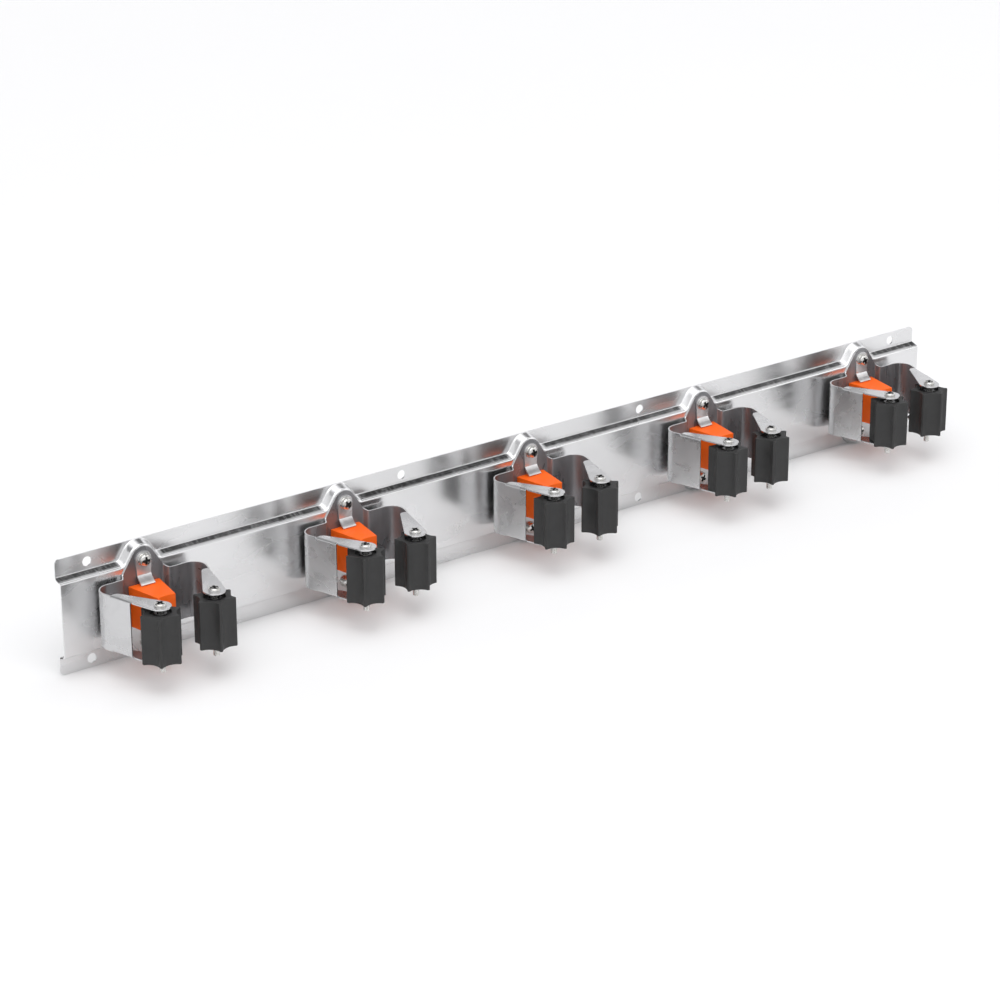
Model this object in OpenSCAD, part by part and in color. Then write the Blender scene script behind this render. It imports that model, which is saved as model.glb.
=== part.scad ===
// Wall rail that holds tools by their handles, each one gripped between a block and two rollers.
// X runs along the rail, Z is up, the wall is the plane y = 0 and the front faces -Y.
// The origin lies on the wall, midway between the wall holes.

/* [Rail] */
// Length of the rail
rail_len = 900; // [860:5:1000]
// Height of the rail
rail_h = 96; // [92:1:110]
// Depth from the wall to the rail's front face
rail_depth = 9; // [7.5:0.5:12]
// Thickness of the rail's sheet
rail_sheet = 1.2; // [0.8:0.1:1.5]
// Width of the flat flange between the rail's edge and the step
flange_w = 13.7; // [12.5:0.1:16]
// Slope of the step between flange and front face
step_angle = 72; // [60:1:80]
// Inner radius of the step's two bends
step_bend_r = 1; // [0.6:0.1:1.4]
// Radius of the rail's four corners
corner_r = 4; // [2:0.5:8]
// How far each boss reaches past the bracket's tab that lies on it
boss_lip = 0.4; // [0.2:0.1:1]
// Radius of the hollow fillet at the foot of each boss
boss_foot_r = 3; // [1.5:0.5:5]

/* [Wall holes] */
// Diameter of the wall holes
wall_hole_d = 8; // [5:0.5:9]
// Distance from the rail's end to its outer holes
end_hole_inset = 28; // [15:1:34]
// Distance between the inner holes along the rail
inner_hole_span = 252; // [230:2:270]
// Distance from the rail's edge to the holes
hole_edge = 7.5; // [6:0.5:8.5]

/* [Bracket] */
// Distance from one clamp to the next
holder_pitch = 189; // [150:1:200]
// Thickness of the spring steel strip
strip_t = 1.2; // [0.8:0.1:1.5]
// Height of the strip
strip_h = 46.5; // [40:0.5:52]
// Width of the flat plate on the rail
plate_w = 35; // [32:1:40]
// How far the strip steps forward beside the plate
arm_offset = 4.4; // [4:0.2:6]
// Slope of that step
joggle_angle = 65; // [50:1:75]
// Inner radius of that step's bends
joggle_bend_r = 1; // [0.6:0.1:1.2]
// Width across the two arms
clamp_w = 94; // [90:1:104]
// Outer radius of the bend between plate and arm
arm_r = 11.6; // [8:0.2:13]
// Lean of the arms towards each other
arm_angle = 15; // [8:1:18]
// Length of the straight part of an arm
arm_len = 27.4; // [24:0.2:34]
// Distance from the rail's edge to the bracket's screws
screw_inset = 13.8; // [12.5:0.1:15]
// Radius of the round end of the plate's tabs
tab_r = 10.5; // [9:0.5:11.5]
// Lean of the tab's sides
tab_angle = 33; // [25:1:38]
// Radius of the hollow fillet between tab and strip
tab_foot_r = 6; // [3:0.5:8]

/* [Ears] */
// Length of the fold between arm and ear
ear_base = 20.7; // [16:0.1:22]
// Inner radius of that fold
ear_bend_r = 0.7; // [0.4:0.1:1]
// Radius of the ear's root
ear_root_r = 4.5; // [3:0.5:5.5]
// Radius of the ear's round end
ear_end_r = 8.8; // [7:0.2:10]
// How far the ear's edge lies inside the arm's face
ear_edge_inset = 1.2; // [0.5:0.1:2]
// Distance from the arm's front edge to the roller's axis
ear_reach = 22; // [20:0.5:26]

/* [Rollers] */
// Radius over the roller's ribs
roller_tip_r = 16.75; // [14:0.25:18]
// Radius at the bottom of the roller's hollows
roller_root_r = 12; // [11:0.25:13]
// Number of ribs
roller_ribs = 6; // [5:1:8]
// Half the width of a rib's tip, in degrees
rib_half_angle = 2.5; // [1.5:0.5:4]
// Gap between the roller and the ear that it stands on
roller_gap = 0.3; // [0.1:0.1:0.5]
// Gap between the roller and the ear above it
roller_play = 3.8; // [1:0.1:5]
// Diameter of the recess in the roller's top
recess_d = 17; // [14:0.5:19]
// Depth of that recess
recess_depth = 2.2; // [1:0.2:4]
// Outer diameter of the hub sleeve
hub_d = 10.5; // [9:0.5:12]
// How far the hub's top lies below the roller's top
hub_drop = 1; // [0.5:0.1:2]

/* [Axle screws] */
// Thread diameter of every screw
screw_d = 5; // [4:0.5:6]
// Clearance of the axle in the hub, on the radius
axle_clearance = 0.1; // [0.05:0.01:0.1]
// Clearance of a screw in a sheet, on the radius
hole_clearance = 0.15; // [0.1:0.05:0.3]
// Clearance of a screw in its thread, on the radius
thread_clearance = 0.05; // [0.02:0.01:0.1]
// Head diameter of every screw
head_d = 9.5; // [8:0.5:11]
// Head height of the axle screws
axle_head_h = 2.6; // [2:0.2:4]
// How far the axle's end stands out under the lower ear
axle_end = 8; // [5:0.5:12]

/* [Block] */
// Width of the block at the plate
block_back_w = 28; // [24:0.5:30]
// Width of the block at the handle
block_front_w = 16; // [12:0.5:20]
// Depth of the block
block_depth = 33; // [26:0.5:36]
// Height of the block
block_h = 33.3; // [26:0.1:36]
// Height of the block's top above the rail's middle
block_top = 14.5; // [12:0.5:17]
// Radius of the block's edges
block_edge_r = 1.6; // [1:0.1:2.5]
// Radius of the hollow that a handle rests in
rest_r = 30; // [20:1:40]
// Depth of that hollow
rest_depth = 1; // [0.5:0.1:1.2]
// Diameter of the pegs behind the block
peg_d = 5; // [3:0.5:6]
// Distance between the two pegs
peg_span = 18; // [12:1:22]
// Clearance of a peg in its hole, on the radius
peg_clearance = 0.1; // [0.05:0.05:0.3]

/* [Clip] */
// Thickness of the clip
clip_t = 1.2; // [0.8:0.1:1.5]
// Radius of the clip's round end
clip_r = 7; // [6:0.25:8]
// Width of the clip at its lip
clip_w = 12.4; // [10:0.2:14]
// Slope of the clip's lip
clip_angle = 45; // [35:1:55]
// Inner radius of the clip's bend
clip_bend_r = 1; // [0.6:0.1:2]
// Length of the clip's sloping lip
clip_lip = 8.4; // [6:0.2:10]
// Gap between the lip and the block
clip_gap = 0.1; // [0.05:0.05:0.3]

/* [Plate screws] */
// Head height of the plate screws
plate_head_h = 3.4; // [2.6:0.2:4]
// How far a plate screw stands out behind its nut
screw_tail = 1; // [0.5:0.1:1.2]
// Diameter of the washers
washer_d = 10.5; // [9:0.5:12]
// Thickness of the washers
washer_t = 1; // [0.8:0.1:1.4]
// Width of the nuts across their flats
nut_af = 8; // [7:0.5:10]
// Height of the nuts
nut_h = 3.5; // [2.7:0.1:4]
// Width of the cross slot in a screw head
slot_w = 1.2; // [0.8:0.1:1.6]
// Depth of the cross slot
slot_depth = 1.4; // [1:0.1:1.8]

/* [Hidden] */
$fn = 48;
holder_count = 5;
// How far each roller has been turned, left one and right one of each clamp, in degrees
roller_turn = [[176, 132], [171, 153], [148, 168], [133, 118], [122, 149]];
// Length that is longer than any part of the object, for cutting through
through = 200;

steel = [0.80, 0.81, 0.82];
spring_steel = [0.72, 0.73, 0.74];
zinc = [0.66, 0.67, 0.68];
orange = [1.0, 0.42, 0.10];
rubber = [0.24, 0.24, 0.25];
hub_black = [0.10, 0.10, 0.11];

// Step of the rail
step_rise = rail_depth - rail_sheet;
step_run = bent_run(step_rise, step_angle, step_bend_r, rail_sheet);
step_z = rail_h / 2 - flange_w;
screw_z = rail_h / 2 - screw_inset;
// A bend's visible edge lies in the middle of its arc, and the tab's side lies along it
bend_half = (step_bend_r + rail_sheet / 2) * tan(step_angle / 2);
boss_back_r = tab_r + boss_lip - bend_half + step_run;
boss_front_r = boss_back_r - step_run;
boss_front_foot = boss_foot_r + step_run;
// Straight length of a boss's side
boss_side = ((boss_back_r + boss_foot_r) * sin(tab_angle) - step_z - boss_foot_r + screw_z) / cos(tab_angle);
boss_foot_x = (boss_back_r + boss_foot_r) * cos(tab_angle) + boss_side * sin(tab_angle);
// Flat ends of the step, and how much of them lies inside the flat faces
tail = 1;
tail_lap = 0.5;
// Pieces of a sheet run into each other by seam_lap, each thinner than its neighbour by seam on both faces
seam = 0.02;
seam_lap = 0.2;

// Planes, all in front of the wall
plate_back = -rail_depth;
plate_front = plate_back - strip_t;
clip_front = plate_front - clip_t;
run_back = plate_back - arm_offset;
joggle_run = bent_run(arm_offset, joggle_angle, joggle_bend_r, strip_t);

// An arm is drawn in its own frame: the origin is the middle of the big bend,
// x points out through the arm and -y runs along it to its front edge
arm_x = clamp_w / 2 - arm_r;
arm_y = run_back - arm_r;
ear_bend_out = ear_bend_r + strip_t;
ear_x = arm_r - ear_bend_out;
ear_top = strip_h / 2;
fold_start = ear_base - arm_len;
axle_local = [arm_r - ear_end_r - ear_edge_inset, -arm_len - ear_reach];
root_local = [ear_x - ear_root_r / 3, fold_start - ear_root_r];
axle_x = arm_x + axle_local.x * cos(arm_angle) + axle_local.y * sin(arm_angle);
axle_y = arm_y - axle_local.x * sin(arm_angle) + axle_local.y * cos(arm_angle);

roller_z = -ear_top + strip_t + roller_gap;
roller_top = ear_top - strip_t - roller_play;
roller_h = roller_top - roller_z;
axle_z = -ear_top - axle_end;
flute_c = (pow(roller_tip_r, 2) - pow(roller_root_r, 2))
    / (2 * (roller_tip_r * cos(180 / roller_ribs - rib_half_angle) - roller_root_r));
flute_r = flute_c - roller_root_r;

// Length along which a sheet of thickness t with two equal bends steps down by rise
function bent_run(rise, angle, r, t) = (2 * r + t) * tan(angle / 2) + rise / tan(angle);

// Middle of the hollow fillet where a tongue's side meets the straight edge at base
function tongue_foot(base, centre, end_r, foot_r, lean) =
    [(end_r + foot_r - (base + foot_r - centre) * sin(lean)) / cos(lean), base + foot_r];

function holder_x(i) = (i - (holder_count - 1) / 2) * holder_pitch;

// Quarter of a ring, from +X to +Y
module quarter_ring(r, t) {
    intersection() {
        difference() {
            circle(r + t);
            circle(r);
        }
        square(r + t + 1);
    }
}

// Points along an arc
function arc(middle, r, from, to, steps) =
    [for (k = [0 : steps]) let (a = from + (to - from) * k / steps) middle + r * [cos(a), sin(a)]];

// Upper face of a sheet that comes in at y = 0 to -t and steps down by rise after x = 0, its bends in flats.
// The sheet is drawn thin by seam on both faces, so that they lie inside those of the pieces that it joins.
function bent_top(rise, angle, r, t, before, after, flats) = let (run = bent_run(rise, angle, r, t))
    [[-before, -seam], each arc([0, -r - t], r + t - seam, 90, 90 - angle, flats),
        each arc([run, r - rise], r + seam, 270 - angle, 270, flats), [run + after, -rise - seam]];

// Lower face of the same sheet, in the same direction
function bent_bottom(rise, angle, r, t, before, after, flats) = let (run = bent_run(rise, angle, r, t))
    [[-before, seam - t], each arc([0, -r - t], r + seam, 90, 90 - angle, flats),
        each arc([run, r - rise], r + t - seam, 270 - angle, 270, flats), [run + after, seam - t - rise]];

function reversed(list) = [for (i = [len(list) - 1 : -1 : 0]) list[i]];

// Outline of a tongue that rises from the edge at base and ends round centre, its curves in flats
module tongue(base, centre, end_r, foot_r, lean) {
    foot = tongue_foot(base, centre, end_r, foot_r, lean);
    side = [each arc(foot, foot_r, 270, 180 + lean, 8), each arc([0, centre], end_r, lean, 90, 10)];
    polygon([[-foot.x, base - 1], [foot.x, base - 1], each side,
        each reversed([for (p = side) if (p.x > 0.01) [-p.x, p.y]])]);
}

// Outline round two circles, its sides a seam inside their tangents
module tangent_link(p, r, q, s) {
    gap = norm(q - p);
    along = atan2(q.y - p.y, q.x - p.x);
    turn = acos((r - s) / gap);
    a = [cos(along + turn), sin(along + turn)];
    b = [cos(along - turn), sin(along - turn)];
    translate(p)
        circle(r);
    translate(q)
        circle(s);
    polygon([p + (r - seam) * a, q + (s - seam) * a, q + (s - seam) * b, p + (r - seam) * b]);
}

// Extrudes an outline drawn in X and Z from the plane y = back towards the front
module to_front(back, thickness) {
    translate([0, back, 0]) rotate([90, 0, 0])
        linear_extrude(thickness) children();
}

// Repeats for the upper and for the lower half
module both_halves() {
    children();
    mirror([0, 0, 1]) children();
}

module at_holders() {
    for (i = [0 : holder_count - 1])
        translate([holder_x(i), 0, 0]) children();
}

module rail_outline() {
    w = rail_len / 2 - corner_r;
    h = rail_h / 2 - corner_r;
    square([rail_len, 2 * h], center = true);
    square([2 * w, rail_h], center = true);
    for (x = [-w, w], z = [-h, h])
        translate([x, z]) circle(corner_r);
}

module front_outline() {
    edge = step_z - step_run - tail_lap;
    square([rail_len, 2 * edge], center = true);
    for (i = [0 : holder_count - 1], flip = [0, 1])
        mirror([0, flip]) translate([holder_x(i), 0])
            tongue(edge, screw_z, boss_front_r - tail_lap, boss_front_foot + tail_lap, tab_angle);
}

module inside_flanges() {
    edge = step_z + tail_lap;
    square([2 * rail_len, 2 * edge], center = true);
    for (i = [0 : holder_count - 1], flip = [0, 1])
        mirror([0, flip]) translate([holder_x(i), 0])
            tongue(edge, screw_z, boss_back_r + tail_lap, boss_foot_r - tail_lap, tab_angle);
}

// Section of the rail's step, thinner by seams on both faces
module step_section(seams) {
    thin = (seams - 1) * seam;
    r = step_bend_r + thin;
    t = rail_sheet - 2 * thin;
    translate([0, -thin])
        polygon([each bent_top(step_rise, step_angle, r, t, tail, tail, 3),
            each reversed(bent_bottom(step_rise, step_angle, r, t, tail, tail, 3))]);
}

// Section of the step at a distance x from the middle of a boss
module boss_section(seams) {
    translate([boss_back_r, 0]) rotate(180) step_section(seams);
}

// Section of the step at a distance x from the middle of the hollow fillet
module foot_section(seams) {
    translate([boss_foot_r, 0]) mirror([0, 1]) step_section(seams);
}

// Step round a boss and down both its sides, seen from the front with the screw at the origin
module boss_step() {
    rotate(tab_angle)
        rotate_extrude(angle = 180 - 2 * tab_angle) boss_section(1);
    for (side = [0, 1])
        mirror([side, 0, 0])
            rotate(tab_angle) {
                translate([0, seam_lap, 0]) rotate([90, 0, 0])
                    linear_extrude(boss_side + 2 * seam_lap) boss_section(2);
                translate([boss_back_r + boss_foot_r, -boss_side, 0]) rotate(180)
                    rotate_extrude(angle = 90 - tab_angle) foot_section(1);
            }
}

// Upper step of the whole rail, seen from the front, trimmed to the rail's edge
module upper_step() {
    difference() {
        at_screws() boss_step();
        translate([-rail_len, rail_h / 2, -through / 2])
            cube([2 * rail_len, through, through]);
    }
    reach = boss_foot_x - seam_lap;
    for (i = [0 : holder_count]) {
        from = i == 0 ? -rail_len / 2 : holder_x(i - 1) + reach;
        to = i == holder_count ? rail_len / 2 : holder_x(i) - reach;
        translate([from, step_z + boss_foot_r, 0]) rotate([90, 0, 90])
            linear_extrude(to - from) mirror([1, 0]) foot_section(2);
    }
}

module at_screws() {
    for (i = [0 : holder_count - 1])
        translate([holder_x(i), screw_z, 0]) children();
}

// Front face and flanges, without the step between them
module flats() {
    to_front(plate_back + rail_sheet, rail_sheet) front_outline();
    to_front(0, rail_sheet)
        difference() {
            rail_outline();
            inside_flanges();
        }
}

module rail($fn = 24) {
    color(steel)
        difference() {
            union() {
                flats();
                both_halves()
                    rotate([90, 0, 0]) upper_step();
            }
            both_halves() {
                for (x = [rail_len / 2 - end_hole_inset, inner_hole_span / 2], side = [-1, 1])
                    translate([side * x, 1, rail_h / 2 - hole_edge]) rotate([90, 0, 0])
                        cylinder(d = wall_hole_d, h = rail_depth + 2);
                at_holders()
                    screw_hole();
            }
        }
}

// Hole for a plate screw, through rail, bracket and clip
module screw_hole() {
    translate([0, 0, screw_z]) rotate([90, 0, 0])
        cylinder(d = screw_d + 2 * hole_clearance, h = through / 4);
}

// Middle of the strip seen from above
module strip_plan() {
    after = arm_x - plate_w / 2 - joggle_run + seam_lap;
    place = [plate_w / 2, plate_back];
    back = [for (p = bent_top(arm_offset, joggle_angle, joggle_bend_r, strip_t, 0, after, 4)) p + place];
    front = [for (p = bent_bottom(arm_offset, joggle_angle, joggle_bend_r, strip_t, 0, after, 4)) p + place];
    right = [each back, each reversed(front)];
    polygon([each right, each reversed([for (p = right) [-p.x, p.y]])]);
}

// Strip seen from the front: a band with a tab above and below, the tab's foot in six flats
module strip_front() {
    foot = tongue_foot(ear_top, screw_z, tab_r, tab_foot_r, tab_angle);
    square([2 * clamp_w, strip_h], center = true);
    for (flip = [0, 1])
        mirror([0, flip]) {
            translate([0, screw_z]) circle(tab_r);
            for (side = [0, 1])
                mirror([side, 0])
                    polygon([[-1, ear_top - 1], [foot.x, ear_top - 1],
                        each arc(foot, tab_foot_r, 270, 180 + tab_angle, 6),
                        [0, screw_z] + (tab_r - seam) * [cos(tab_angle), sin(tab_angle)], [-1, screw_z]]);
        }
}

// Upper ear with its fold, in the arm's frame
module ear() {
    translate([ear_x, fold_start, ear_top - ear_bend_out]) rotate([90, 0, 0])
        linear_extrude(ear_base) quarter_ring(ear_bend_r, strip_t);
    translate([0, 0, ear_top - strip_t])
        linear_extrude(strip_t)
            intersection() {
                union() {
                    tangent_link(root_local, ear_root_r, axle_local, ear_end_r);
                    translate([root_local.x, -arm_len])
                        square([ear_x - root_local.x, ear_base]);
                }
                union() {
                    translate([ear_x - through, -arm_len])
                        square([through, ear_base]);
                    translate([ear_x - through, -arm_len - through])
                        square([through + ear_x, through]);
                }
            }
}

// Bend between plate and right arm, with the middle of the bend at the origin
module arm_bend() {
    difference() {
        translate([0, 0, -ear_top])
            linear_extrude(strip_h)
                difference() {
                    circle(arm_r);
                    circle(arm_r - strip_t);
                }
        translate([-through, -through / 2, -through / 2])
            cube(through);
        rotate(-arm_angle) translate([-through / 2, -through, -through / 2])
            cube(through);
    }
}

// Straight part of an arm with both ears, in the arm's frame
module arm() {
    low = ear_top - ear_bend_out;
    translate([arm_r - strip_t + seam, fold_start, -ear_top + seam])
        cube([strip_t - 2 * seam, seam_lap - fold_start, strip_h - 2 * seam]);
    translate([arm_r - strip_t, -arm_len, -low])
        cube([strip_t, ear_base, 2 * low]);
    both_halves() ear();
}

module bracket(i) {
    color(spring_steel)
        translate([holder_x(i), 0, 0])
            difference() {
                union() {
                    intersection() {
                        translate([0, 0, -rail_h / 2])
                            linear_extrude(rail_h) strip_plan();
                        to_front(0, through) strip_front();
                    }
                    for (side = [0, 1])
                        mirror([side, 0, 0]) translate([arm_x, arm_y, 0]) {
                            arm_bend();
                            rotate(-arm_angle) arm();
                        }
                }
                both_halves() screw_hole();
                for (side = [0, 1])
                    mirror([side, 0, 0]) translate([axle_x, axle_y, 0]) {
                        cylinder(d = screw_d + 2 * hole_clearance, h = strip_h);
                        translate([0, 0, -strip_h])
                            cylinder(d = screw_d + 2 * thread_clearance, h = strip_h);
                    }
                block_pegs(plate_back + 1, peg_d + 2 * peg_clearance);
            }
}

// The pegs behind the block, or their holes, from the plane y = back to the block
module block_pegs(back, d) {
    for (z = [-0.5, 0.5] * peg_span)
        translate([0, back, block_top - block_h / 2 + z]) rotate([90, 0, 0])
            cylinder(d = d, h = back - plate_front + (d > peg_d ? 1 : 0));
}

// Rectangle with round corners from its lower left corner
module round_rect(w, h, r) {
    translate([r, 0]) square([w - 2 * r, h]);
    translate([0, r]) square([w, h - 2 * r]);
    for (x = [r, w - r], y = [r, h - r])
        translate([x, y]) circle(r);
}

// Block seen from above, right half, with its back on the plate
module block_half_plan() {
    r = block_edge_r;
    back = [block_back_w / 2 - r, plate_front - r];
    front = [block_front_w / 2 - r, plate_front - block_depth + r];
    tangent_link(back, r, front, r);
    polygon([[0, back.y + r], [back.x, back.y + r], back, front, [front.x, front.y - r], [0, front.y - r]]);
}

module block(i) {
    bottom = block_top - block_h;
    color(orange)
        translate([holder_x(i), 0, 0]) {
            difference() {
                intersection() {
                    translate([0, 0, bottom])
                        linear_extrude(block_h) {
                            block_half_plan();
                            mirror([1, 0]) block_half_plan();
                        }
                    translate([block_back_w, plate_front, bottom]) rotate([90, 0, -90])
                        linear_extrude(2 * block_back_w)
                            round_rect(block_depth, block_h, block_edge_r);
                }
                translate([0, plate_front - block_depth - rest_r + rest_depth, bottom - 1])
                    cylinder(r = rest_r, h = block_h + 2);
            }
            block_pegs(plate_front + strip_t - 0.1, peg_d);
        }
}

// Clip seen from the side, X here is the distance in front of the plate
module clip_side() {
    bend_z = block_top + clip_gap + clip_drop();
    square_top = screw_z + clip_r;
    translate([0, bend_z])
        square([clip_t, square_top - bend_z]);
    translate([clip_t + clip_bend_r, bend_z])
        intersection() {
            rotate(180) quarter_ring(clip_bend_r, clip_t);
            rotate(90 + clip_angle) square(clip_bend_r + clip_t + 1);
        }
    translate([clip_t + clip_bend_r, bend_z]) rotate(clip_angle) translate([-clip_bend_r - clip_t, -clip_lip])
        square([clip_t, clip_lip]);
}

// Height that the bend and the lip take
function clip_drop() = (clip_bend_r + clip_t) * sin(clip_angle) + clip_lip * cos(clip_angle);

// Clip seen from the front
module clip_front_outline() {
    translate([0, screw_z]) circle(clip_r);
    low = block_top;
    mid = block_top + clip_drop();
    polygon([[-clip_w / 2, low - 1], [clip_w / 2, low - 1], [clip_w / 2, mid], [clip_r, screw_z],
        [-clip_r, screw_z], [-clip_w / 2, mid]]);
}

module clip(i) {
    color(steel)
        translate([holder_x(i), 0, 0])
            difference() {
                intersection() {
                    translate([2 * clip_r, plate_front, 0]) rotate([90, 0, -90])
                        linear_extrude(4 * clip_r) clip_side();
                    to_front(0, through) clip_front_outline();
                }
                screw_hole();
            }
}

// Roller seen from above
module roller_plan() {
    difference() {
        circle(roller_tip_r);
        for (k = [0 : roller_ribs - 1])
            rotate((k + 0.5) * 360 / roller_ribs) translate([flute_c, 0])
                circle(flute_r);
    }
}

module at_axle(i, right) {
    translate([holder_x(i) + (right ? -1 : 1) * -axle_x, axle_y, 0]) children();
}

module roller(i, right) {
    color(rubber)
        at_axle(i, right) rotate(roller_turn[i][right ? 1 : 0])
            difference() {
                translate([0, 0, roller_z])
                    linear_extrude(roller_h) roller_plan();
                translate([0, 0, roller_z - 1])
                    cylinder(d = hub_d, h = roller_h + 2);
                translate([0, 0, roller_top - recess_depth])
                    cylinder(d = recess_d, h = recess_depth + 1);
            }
}

module hub(i, right) {
    color(hub_black)
        at_axle(i, right)
            difference() {
                translate([0, 0, roller_z])
                    cylinder(d = hub_d, h = roller_h - hub_drop);
                translate([0, 0, roller_z - 1])
                    cylinder(d = screw_d + 2 * axle_clearance, h = roller_h + 2);
            }
}

// Pan head with a cross slot, its seat at z = 0 and its top up
module pan_head(h) {
    crown_r = (pow(head_d / 2, 2) + pow(h / 2, 2)) / h;
    difference() {
        intersection() {
            cylinder(d = head_d, h = h);
            translate([0, 0, h - crown_r]) sphere(crown_r);
        }
        for (turn = [0, 90])
            rotate(turn) translate([-head_d * 0.28, -slot_w / 2, h - slot_depth])
                cube([head_d * 0.56, slot_w, slot_depth + 1]);
    }
}

module axle_screws(i) {
    color(zinc)
        for (right = [false, true])
            at_axle(i, right) {
                translate([0, 0, ear_top]) pan_head(axle_head_h);
                translate([0, 0, axle_z]) cylinder(d = screw_d, h = ear_top - axle_z);
            }
}

// Puts what is drawn along +Z on each plate screw's axis, from the plane y = seat forwards
module at_plate_screws(seat) {
    at_holders()
        translate([0, seat, screw_z]) rotate([90, 0, 0]) children();
}

module plate_screws(seat) {
    shank = seat - plate_back - rail_sheet;
    at_plate_screws(seat) {
        pan_head(plate_head_h);
        translate([0, 0, shank - nut_h - screw_tail])
            cylinder(d = screw_d, h = nut_h + screw_tail - shank);
    }
}

module washers(seat) {
    at_plate_screws(seat)
        difference() {
            cylinder(d = washer_d, h = washer_t);
            translate([0, 0, -1])
                cylinder(d = screw_d + 2 * hole_clearance, h = washer_t + 2);
        }
}

module nuts() {
    at_plate_screws(plate_back + rail_sheet + nut_h)
        difference() {
            cylinder(d = nut_af / cos(30), h = nut_h, $fn = 6);
            translate([0, 0, -1])
                cylinder(d = screw_d + 2 * thread_clearance, h = nut_h + 2);
        }
}

module upper_screws() { color(zinc) plate_screws(clip_front - washer_t); }
module lower_screws() { color(zinc) mirror([0, 0, 1]) plate_screws(plate_front - washer_t); }
module upper_washers() { color(zinc) washers(clip_front); }
module lower_washers() { color(zinc) mirror([0, 0, 1]) washers(plate_front); }
module upper_nuts() { color(zinc) nuts(); }
module lower_nuts() { color(zinc) mirror([0, 0, 1]) nuts(); }

rail();
bracket(0);  // bracket_1
bracket(1);  // bracket_2
bracket(2);  // bracket_3
bracket(3);  // bracket_4
bracket(4);  // bracket_5
block(0);  // block_1
block(1);  // block_2
block(2);  // block_3
block(3);  // block_4
block(4);  // block_5
clip(0);  // clip_1
clip(1);  // clip_2
clip(2);  // clip_3
clip(3);  // clip_4
clip(4);  // clip_5
roller(0, false);  // roller_1_left
roller(0, true);  // roller_1_right
roller(1, false);  // roller_2_left
roller(1, true);  // roller_2_right
roller(2, false);  // roller_3_left
roller(2, true);  // roller_3_right
roller(3, false);  // roller_4_left
roller(3, true);  // roller_4_right
roller(4, false);  // roller_5_left
roller(4, true);  // roller_5_right
hub(0, false);  // hub_1_left
hub(0, true);  // hub_1_right
hub(1, false);  // hub_2_left
hub(1, true);  // hub_2_right
hub(2, false);  // hub_3_left
hub(2, true);  // hub_3_right
hub(3, false);  // hub_4_left
hub(3, true);  // hub_4_right
hub(4, false);  // hub_5_left
hub(4, true);  // hub_5_right
axle_screws(0);  // axle_screws_1
axle_screws(1);  // axle_screws_2
axle_screws(2);  // axle_screws_3
axle_screws(3);  // axle_screws_4
axle_screws(4);  // axle_screws_5
upper_screws();
lower_screws();
upper_washers();
lower_washers();
upper_nuts();
lower_nuts();
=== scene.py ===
"""Dresses the tool holder rail: one pressed steel rail with five roller clamps."""

import math

import bmesh
import bpy
from bpy.props import FloatProperty, FloatVectorProperty, IntProperty, PointerProperty
from mathutils import Matrix, Vector
from mathutils.geometry import tessellate_polygon


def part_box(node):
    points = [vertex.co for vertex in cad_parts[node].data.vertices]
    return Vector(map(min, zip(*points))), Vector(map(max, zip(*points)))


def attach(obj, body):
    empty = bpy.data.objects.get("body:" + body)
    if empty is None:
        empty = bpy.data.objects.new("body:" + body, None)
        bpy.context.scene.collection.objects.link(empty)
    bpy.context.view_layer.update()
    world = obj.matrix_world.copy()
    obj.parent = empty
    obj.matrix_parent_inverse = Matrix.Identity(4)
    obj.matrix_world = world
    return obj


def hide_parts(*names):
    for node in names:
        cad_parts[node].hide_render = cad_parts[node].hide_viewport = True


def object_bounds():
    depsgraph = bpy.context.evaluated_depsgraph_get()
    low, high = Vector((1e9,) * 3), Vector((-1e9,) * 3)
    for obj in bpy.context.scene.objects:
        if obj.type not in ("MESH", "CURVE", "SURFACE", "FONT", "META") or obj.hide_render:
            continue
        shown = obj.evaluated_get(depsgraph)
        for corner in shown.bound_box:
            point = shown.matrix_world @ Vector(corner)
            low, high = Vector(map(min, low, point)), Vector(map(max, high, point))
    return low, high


bl_info = {
    "name": "Tool holder rail",
    "version": (1, 0, 0),
    "blender": (4, 5, 0),
    "location": "3D View > Sidebar > Tool rail",
    "description": "Makes a wall rail with five clamps that grip tool handles between two rollers",
    "category": "Object",
}

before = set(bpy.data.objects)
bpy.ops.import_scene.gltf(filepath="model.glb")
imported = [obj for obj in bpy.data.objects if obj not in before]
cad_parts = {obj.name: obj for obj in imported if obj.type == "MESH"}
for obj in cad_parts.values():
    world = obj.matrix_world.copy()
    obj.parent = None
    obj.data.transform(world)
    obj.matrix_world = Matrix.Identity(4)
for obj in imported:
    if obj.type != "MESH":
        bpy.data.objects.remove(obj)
CAD_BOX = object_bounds()
RAIL_LOW, RAIL_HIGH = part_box("rail")

CLAMPS = 5
QUARTER = math.pi / 2
FASTENERS = "Set out fasteners"
# Points nearer than WELD become one, and edges shorter than TINY are dropped
WELD, TINY = 1e-6, 1e-7
# Twice the area under which a triangle is left out
SLIVER = 1e-12
# Angles of the points between the ends of a small round corner
CORNER = (0.5, 1.05)
# Rounding under a screw's head, and how far the tool for the cross stands out over the head
SEAT, SPARE = 0.0002, 0.0004
# Where an ear's outer edge runs back to its fold, as distances from the arm's face and front edge
NOTCH = ((0.0006, 0.0022), (0.0011, 0.0008))
# How far each roller is turned about its axle, left and right one of each clamp
ROLLER_TURNS = ((176, 132), (171, 153), (148, 168), (133, 118), (122, 149))


def length(name, value, text):
    return FloatProperty(
        name=name, description=text, default=value, min=0.0, precision=4, unit="LENGTH"
    )


def angle(name, value, text):
    return FloatProperty(name=name, description=text, default=math.radians(value), subtype="ANGLE")


def colour(name, value, text):
    return FloatVectorProperty(
        name=name, description=text, default=value, min=0.0, max=1.0, size=3, subtype="COLOR"
    )


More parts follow.
